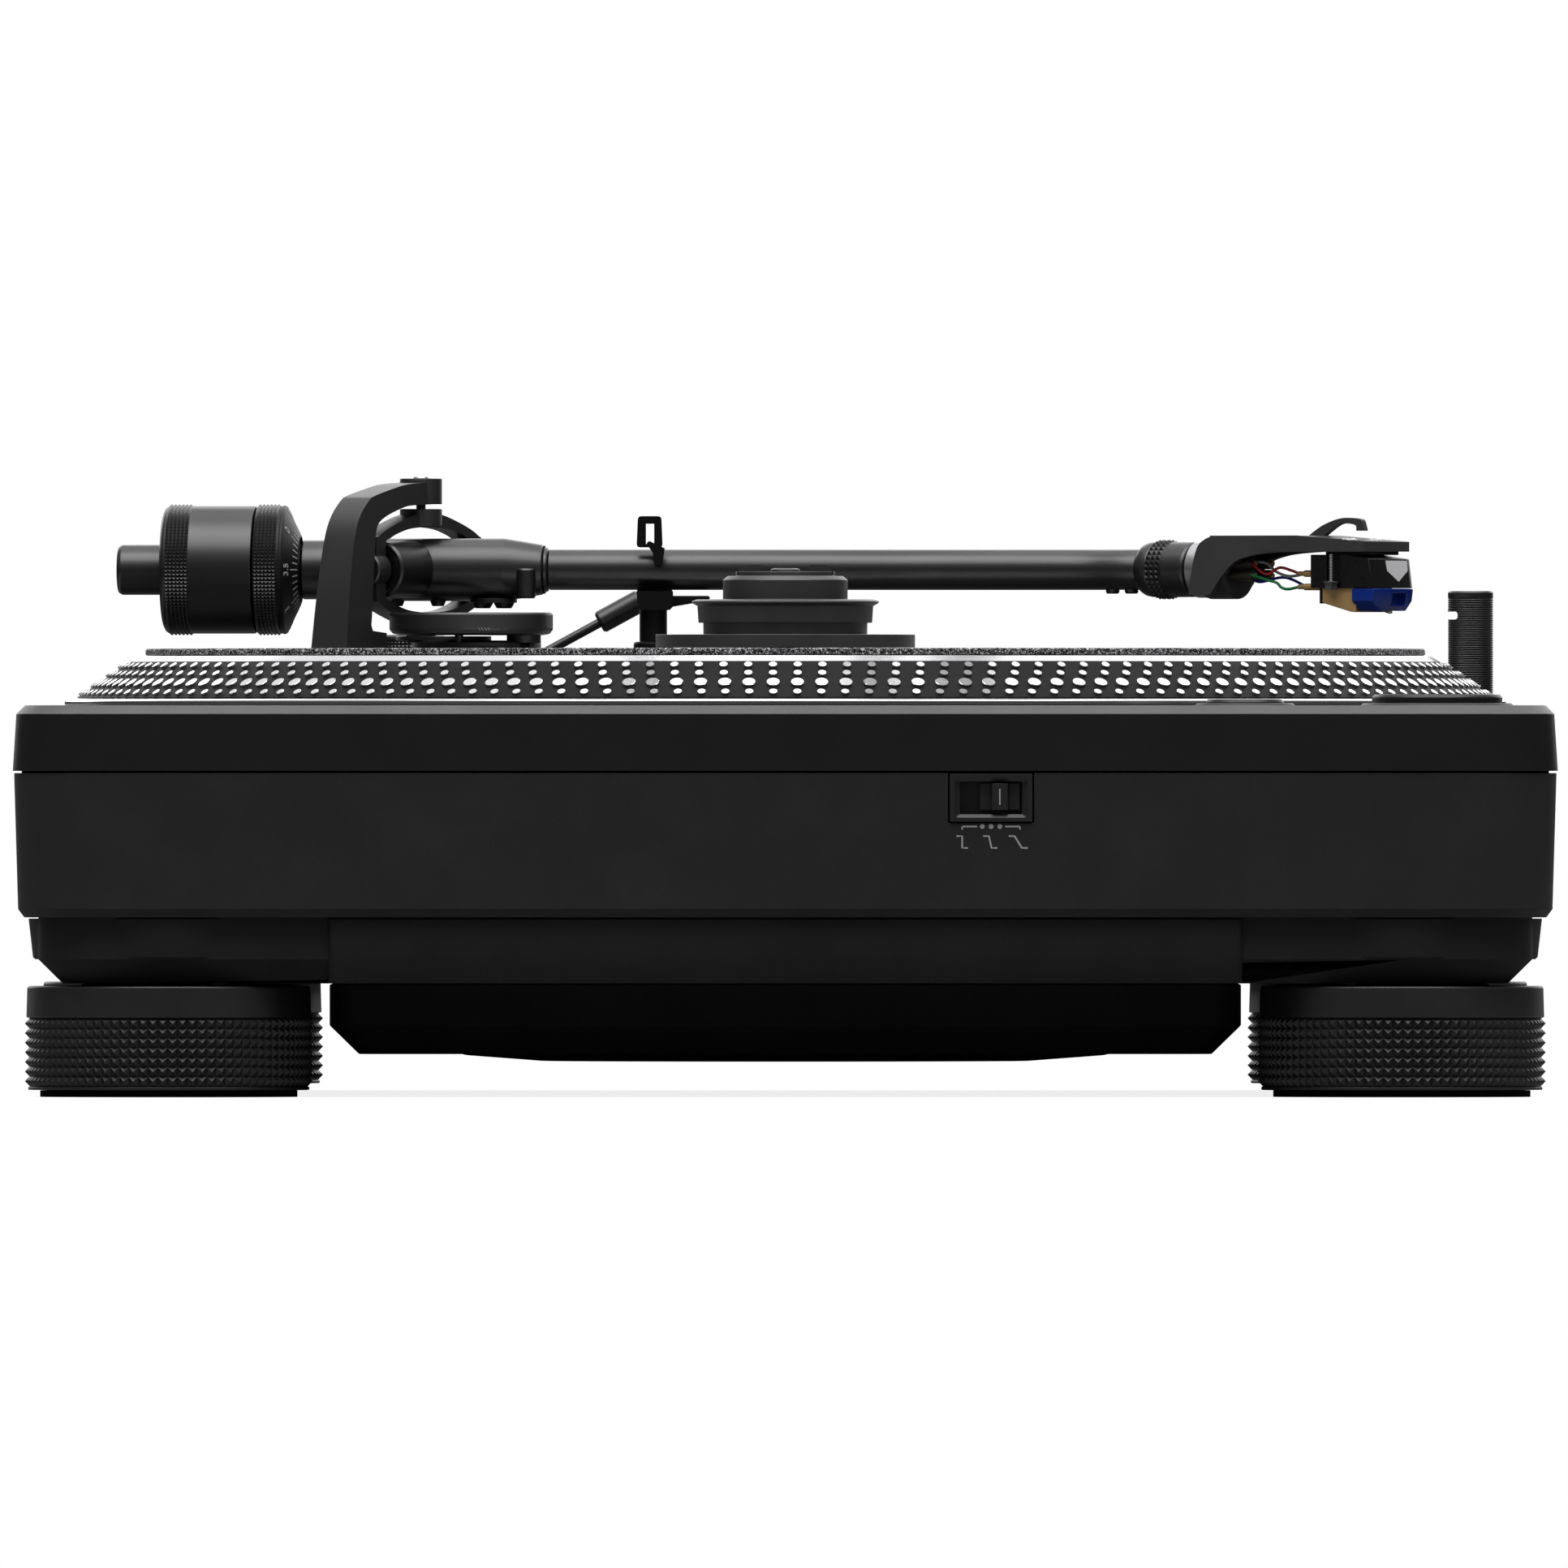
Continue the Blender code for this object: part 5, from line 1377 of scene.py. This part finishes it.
def loft(name, plans, mat, edge=0.0002):
    """A block through level outlines in the headshell's directions, each (height, outline)."""
    shape = bmesh.new()
    rows = [[shape.verts.new(on_shell(along, side, up)) for along, side in plan] for up, plan in plans]
    skin(shape, rows)
    shape.faces.new(rows[0])
    shape.faces.new(rows[-1])
    return rounded(settle(shape, name, mat), edge)


def nose(rear, front, half, corner):
    """A level outline with a straight front between two slanted corners."""
    return [(rear, -half), (front - corner * 0.4, -half), (front, -half + corner), (front, half - corner),
            (front - corner * 0.4, half), (rear, half)]


def cartridge():
    body = loft("cartridge_case", [(0.1172, nose(0.0394, 0.0580, 0.0085, 0.0033)),
                                   (0.1240, nose(0.0394, 0.0571, 0.0085, 0.0033)),
                                   (0.1250, nose(0.0394, 0.0500, 0.0085, 0.0033))], GUARD_BLACK)
    notch = block("n", (0.0440, 0.0070, 0.1150), (0.0475, 0.0120, 0.1270), None, 0, on_shell)
    add(cut(body, notch), "arm", "plastic_black", "cartridge_body")
    riser = block(
        "cartridge_riser", (0.0420, -0.0060, 0.1249), (0.0545, 0.0060, 0.1258), GUARD_BLACK, 0.0001, on_shell
    )
    add(riser, "arm", "plastic_black")
    rear = block(
        "cartridge_back", (0.0416, -0.0080, 0.1136), (0.0422, 0.0080, 0.1173), GUARD_BLACK, 0.0001, on_shell
    )
    add(rear, "arm", "plastic_black")
    wedge = [(0.0422, 0.1173), (0.0422, 0.1138), (0.0500, 0.1117), (0.0516, 0.1116), (0.0516, 0.1173)]
    generator = plate("generator_case", wedge, -0.0078, 0.0078, GOLD, upright, 0.0002)
    add(generator, "arm", "gold", "cartridge_bracket")
    guard = loft("stylus_cover", [(0.1119, nose(0.0518, 0.0568, 0.0066, 0.0020)),
                                  (0.1142, nose(0.0508, 0.0579, 0.0084, 0.0033)),
                                  (0.1171, nose(0.0508, 0.0583, 0.0084, 0.0033))], BLUE)
    cut(guard, block("r", (0.0562, -0.0040, 0.1131), (0.0600, 0.0020, 0.1160), None, 0, on_shell))
    add(guard, "arm", "stylus_blue", "stylus_guard")
    for number in range(6):
        along = 0.0538 + 0.0005 * number
        rib = block(
            f"cover_rib_{number}", (along, 0.0045, 0.1117), (along + 0.00022, 0.0058, 0.1126), BLUE, 0,
            on_shell
        )
        add(rib, "arm", "stylus_blue")
    shield = [(-0.0054, 0.1236), (0.0038, 0.1236), (0.0035, 0.1212), (-0.0008, 0.1187), (-0.0051, 0.1212)]

    def on_front(side, up, out):
        return on_shell(0.0580 - 0.0009 * (up - 0.1172) / 0.0068 + out, side, up)

    add(plate("front_label", shield, -0.0002, 0.00010, LABEL, on_front, 0), "arm", "plastic_black")
    tip = on_shell(0.0558, 0, 0.1114)
    route = smooth_through([
        on_shell(0.0528, 0, 0.1128), on_shell(0.0545, 0, 0.1118), tip, on_shell(0.0566, 0, 0.1115)
    ], 4)
    add(tube("cantilever", route, 0.00016, STEEL, 3), "arm", "steel")
    needle = lathe(
        "stylus_needle", [(0, 0.1115), (0.00012, 0.1115), (0.00010, 0.1113), (0, 0.11115)], LAMP_GLASS,
        (tip.x, tip.y, 0), steps=12, soft=0
    )
    add(needle, "arm", "steel")
    mount_screws()
    for number, (side, up) in enumerate((
        (0.0045, 0.1206), (0.0015, 0.1206), (0.0045, 0.1175), (0.0015, 0.1175)
    )):
        end = 0.0394 if up > 0.119 else 0.0416
        free = end - 0.0334
        sleeve = [
            (0, 0.0002), (0.0008, 0.0002), (0.0008, 0.0019 - free), (0.00055, 0.0017 - free),
            (0.00055, -free), (0, -free)
        ]
        pin = lathe(
            f"cartridge_pin_{number}", sleeve, PIN_GOLD, on_shell(end, side, up), SHELL_AXIS, 24, soft=0.0001
        )
        add(pin, "arm", "gold")


def mount_screws():
    """The near cartridge screw, its thread drawn as rings, with a washer and a six-sided nut."""
    at = on_shell(0.0457, 0.0093, 0)
    pitch = 0.00035
    profile = [(0, 0.1252)]
    for number in range(24):
        z = 0.1252 - number * pitch
        profile += [(0.00055, z), (0.00043, z - pitch / 2)]
    profile.append((0, profile[-1][1]))
    screw = lathe("thread_near", profile, DULL_STEEL, (at.x, at.y, 0), steps=24, soft=0)
    add(screw, "arm", "steel", "mount_screw")
    washer = rod("washer_near", 0.0019, 0.1184, 0.1188, DULL_STEEL, (at.x, at.y, 0), soft=0.00008)
    add(washer, "arm", "steel")
    nut = rod("nut_near", 0.0016, 0.1168, 0.1184, DULL_STEEL, (at.x, at.y, 0), steps=6, soft=0)
    add(nut, "arm", "steel")


def lead_wires():
    routes = {
        "red": (
            (0.0203, 0.0045, 0.1231), (0.0246, 0.0047, 0.1205), (0.0282, 0.0046, 0.1220),
            (0.0316, 0.0045, 0.1213), (0.0336, 0.0045, 0.1206)
        ), "white": (
            (0.0205, 0.0024, 0.1234), (0.0234, 0.0026, 0.1230), (0.0262, 0.0027, 0.1210),
            (0.0298, 0.0026, 0.1200), (0.0336, 0.0015, 0.1206)
        ), "blue": (
            (0.0176, 0.0012, 0.1199), (0.0205, 0.0012, 0.1187), (0.0262, 0.0012, 0.1197),
            (0.0294, 0.0013, 0.1193), (0.0336, 0.0015, 0.1176)
        ), "green": (
            (0.0203, 0.0046, 0.1204), (0.0246, 0.0047, 0.1192), (0.0274, 0.0046, 0.1185),
            (0.0287, 0.0045, 0.1174), (0.0305, 0.0044, 0.1170), (0.0336, 0.0045, 0.1175)
        )
    }
    for colour, route in routes.items():
        points = smooth_through([on_shell(*point) for point in route], 8)
        add(tube(f"shell_wire_{colour}", points, 0.00034, WIRES[colour], 4), "arm", f"wire_{colour}",
            f"lead_wire_{colour}")


# ---------------------------------------------------------------- floor, light and camera

FLOOR_RADIUS = 0.75
FLOOR_DEPTH = 0.0001
FADE_START = 0.32
FADE_END = 0.70


def floor():
    """A pale round floor that fades out at its edge, lifted a little towards white for the camera."""
    slab = [(0, 0), (FLOOR_RADIUS, 0), (FLOOR_RADIUS, -FLOOR_DEPTH), (0, -FLOOR_DEPTH)]
    made = lathe("floor", slab, None, steps=96, soft=0, weigh=False)
    mat = surface("floor_white", grey(0.25), 0.9, vary=0.01, patch=3, bump=0.0, shine=0.1)
    nodes = mat.node_tree.nodes
    link = mat.node_tree.links.new
    length = nodes.new("ShaderNodeVectorMath")
    length.operation = "LENGTH"
    fade = nodes.new("ShaderNodeMapRange")
    fade.inputs["From Min"].default_value = FADE_START
    fade.inputs["From Max"].default_value = FADE_END
    clear = nodes.new("ShaderNodeBsdfTransparent")
    blend = nodes.new("ShaderNodeMixShader")
    path = nodes.new("ShaderNodeLightPath")
    link(path.outputs["Is Camera Ray"], nodes["Principled BSDF"].inputs["Emission Strength"])
    nodes["Principled BSDF"].inputs["Emission Color"].default_value = (0.84, 0.84, 0.84, 1)
    link(nodes["Texture Coordinate"].outputs["Object"], length.inputs[0])
    link(length.outputs["Value"], fade.inputs["Value"])
    link(fade.outputs["Result"], blend.inputs["Fac"])
    link(nodes["Principled BSDF"].outputs["BSDF"], blend.inputs[1])
    link(clear.outputs["BSDF"], blend.inputs[2])
    link(blend.outputs["Shader"], nodes["Material Output"].inputs["Surface"])
    made.data.materials.clear()
    made.data.materials.append(mat)


def panel(name, at, aim, width, height, radiance):
    """A soft light panel that faces a point and that the camera doesn't see."""
    lamp = bpy.data.lights.new(name, "AREA")
    lamp.shape = "RECTANGLE"
    lamp.size = width
    lamp.size_y = height
    lamp.energy = radiance * math.pi * width * height
    made = bpy.data.objects.new(name, lamp)
    made.location = at
    made.rotation_euler = (Vector(aim) - Vector(at)).to_track_quat("-Z", "Y").to_euler()
    made.visible_camera = False
    bpy.context.scene.collection.objects.link(made)


PANEL_HEIGHT = 1.5


def overhead(name, y, width, near, far, radiance):
    """A panel that faces straight down, from near to far along X."""
    x = (near + far) / 2
    panel(name, (x, y, PANEL_HEIGHT), (x, y, 0), far - near, width, radiance)


def studio():
    """White where the camera looks past the deck; dark round it, but for the panels and a dim ceiling."""
    world = bpy.data.worlds.new("studio")
    bpy.context.scene.world = world
    world.use_nodes = True
    nodes = world.node_tree.nodes
    link = world.node_tree.links.new
    room = nodes["Background"]
    place = nodes.new("ShaderNodeTexCoord")
    split = nodes.new("ShaderNodeSeparateXYZ")
    ceiling = nodes.new("ShaderNodeMapRange")
    ceiling.inputs["From Min"].default_value = 0.0
    ceiling.inputs["From Max"].default_value = 0.9
    ceiling.inputs["To Min"].default_value = 0.03
    ceiling.inputs["To Max"].default_value = 0.37
    link(place.outputs["Generated"], split.inputs[0])
    link(split.outputs["Z"], ceiling.inputs["Value"])
    link(ceiling.outputs["Result"], room.inputs["Color"])
    backdrop = nodes.new("ShaderNodeBackground")
    backdrop.inputs["Color"].default_value = (1, 1, 1, 1)
    path = nodes.new("ShaderNodeLightPath")
    blend = nodes.new("ShaderNodeMixShader")
    link(path.outputs["Is Camera Ray"], blend.inputs["Fac"])
    link(room.outputs["Background"], blend.inputs[1])
    link(backdrop.outputs["Background"], blend.inputs[2])
    link(blend.outputs["Shader"], nodes["World Output"].inputs["Surface"])
    overhead("overhead", y=0.048, width=0.282, near=0.15, far=1.35, radiance=1.5)
    overhead("rear_strip", y=0.317, width=0.099, near=0.15, far=1.35, radiance=1.5)
    overhead("rear_dim", y=0.660, width=0.580, near=0.20, far=2.70, radiance=0.55)
    overhead("front_strip", y=-0.206, width=0.042, near=0.15, far=1.35, radiance=1.5)
    overhead("front_strip_wide", y=-0.372, width=0.055, near=0.15, far=1.60, radiance=1.5)
    overhead("front_dim", y=-0.458, width=0.116, near=0.15, far=1.80, radiance=0.75)
    overhead("front_wide", y=-0.740, width=0.440, near=0.20, far=3.00, radiance=1.5)
    overhead("zenith", y=0.0, width=2.0, near=-0.37, far=0.13, radiance=2.4)
    panel("key", (-0.75, 0.0, 1.5), (0, 0, 0.1), 2.2, 0.9, 2.3)
    panel("backdrop_glow", (1.9, 0, 0.75), (0, 0, 0.2), 3.0, 1.2, 1.5)
    bpy.context.scene.view_settings.view_transform = "Standard"


def camera():
    """A very long lens, level, from the object's left: the whole deck side fills the frame's width."""
    data = bpy.data.cameras.new("camera")
    data.sensor_width = 36
    data.lens = 1720
    frame_width = 0.3614
    distance = frame_width * data.lens / data.sensor_width
    sharp = Vector((-0.07, 0.0003, 0.0716))
    made = bpy.data.objects.new("camera", data)
    made.location = sharp - Vector((distance, 0, 0))
    made.rotation_euler = Vector((1, 0, 0)).to_track_quat("-Z", "Y").to_euler()
    data.clip_end = 100
    bpy.context.scene.collection.objects.link(made)
    bpy.context.scene.camera = made


deck()
underside()
feet()
platter()
slipmat()
record_clamp()
controls()
rear_sockets()
inner_parts()
arm_base()
arm_rest()
arm_clip()
gimbal()
arm_housing()
arm_tube()
counterweight()
collar()
headshell()
cartridge()
lead_wires()
floor()
studio()
camera()
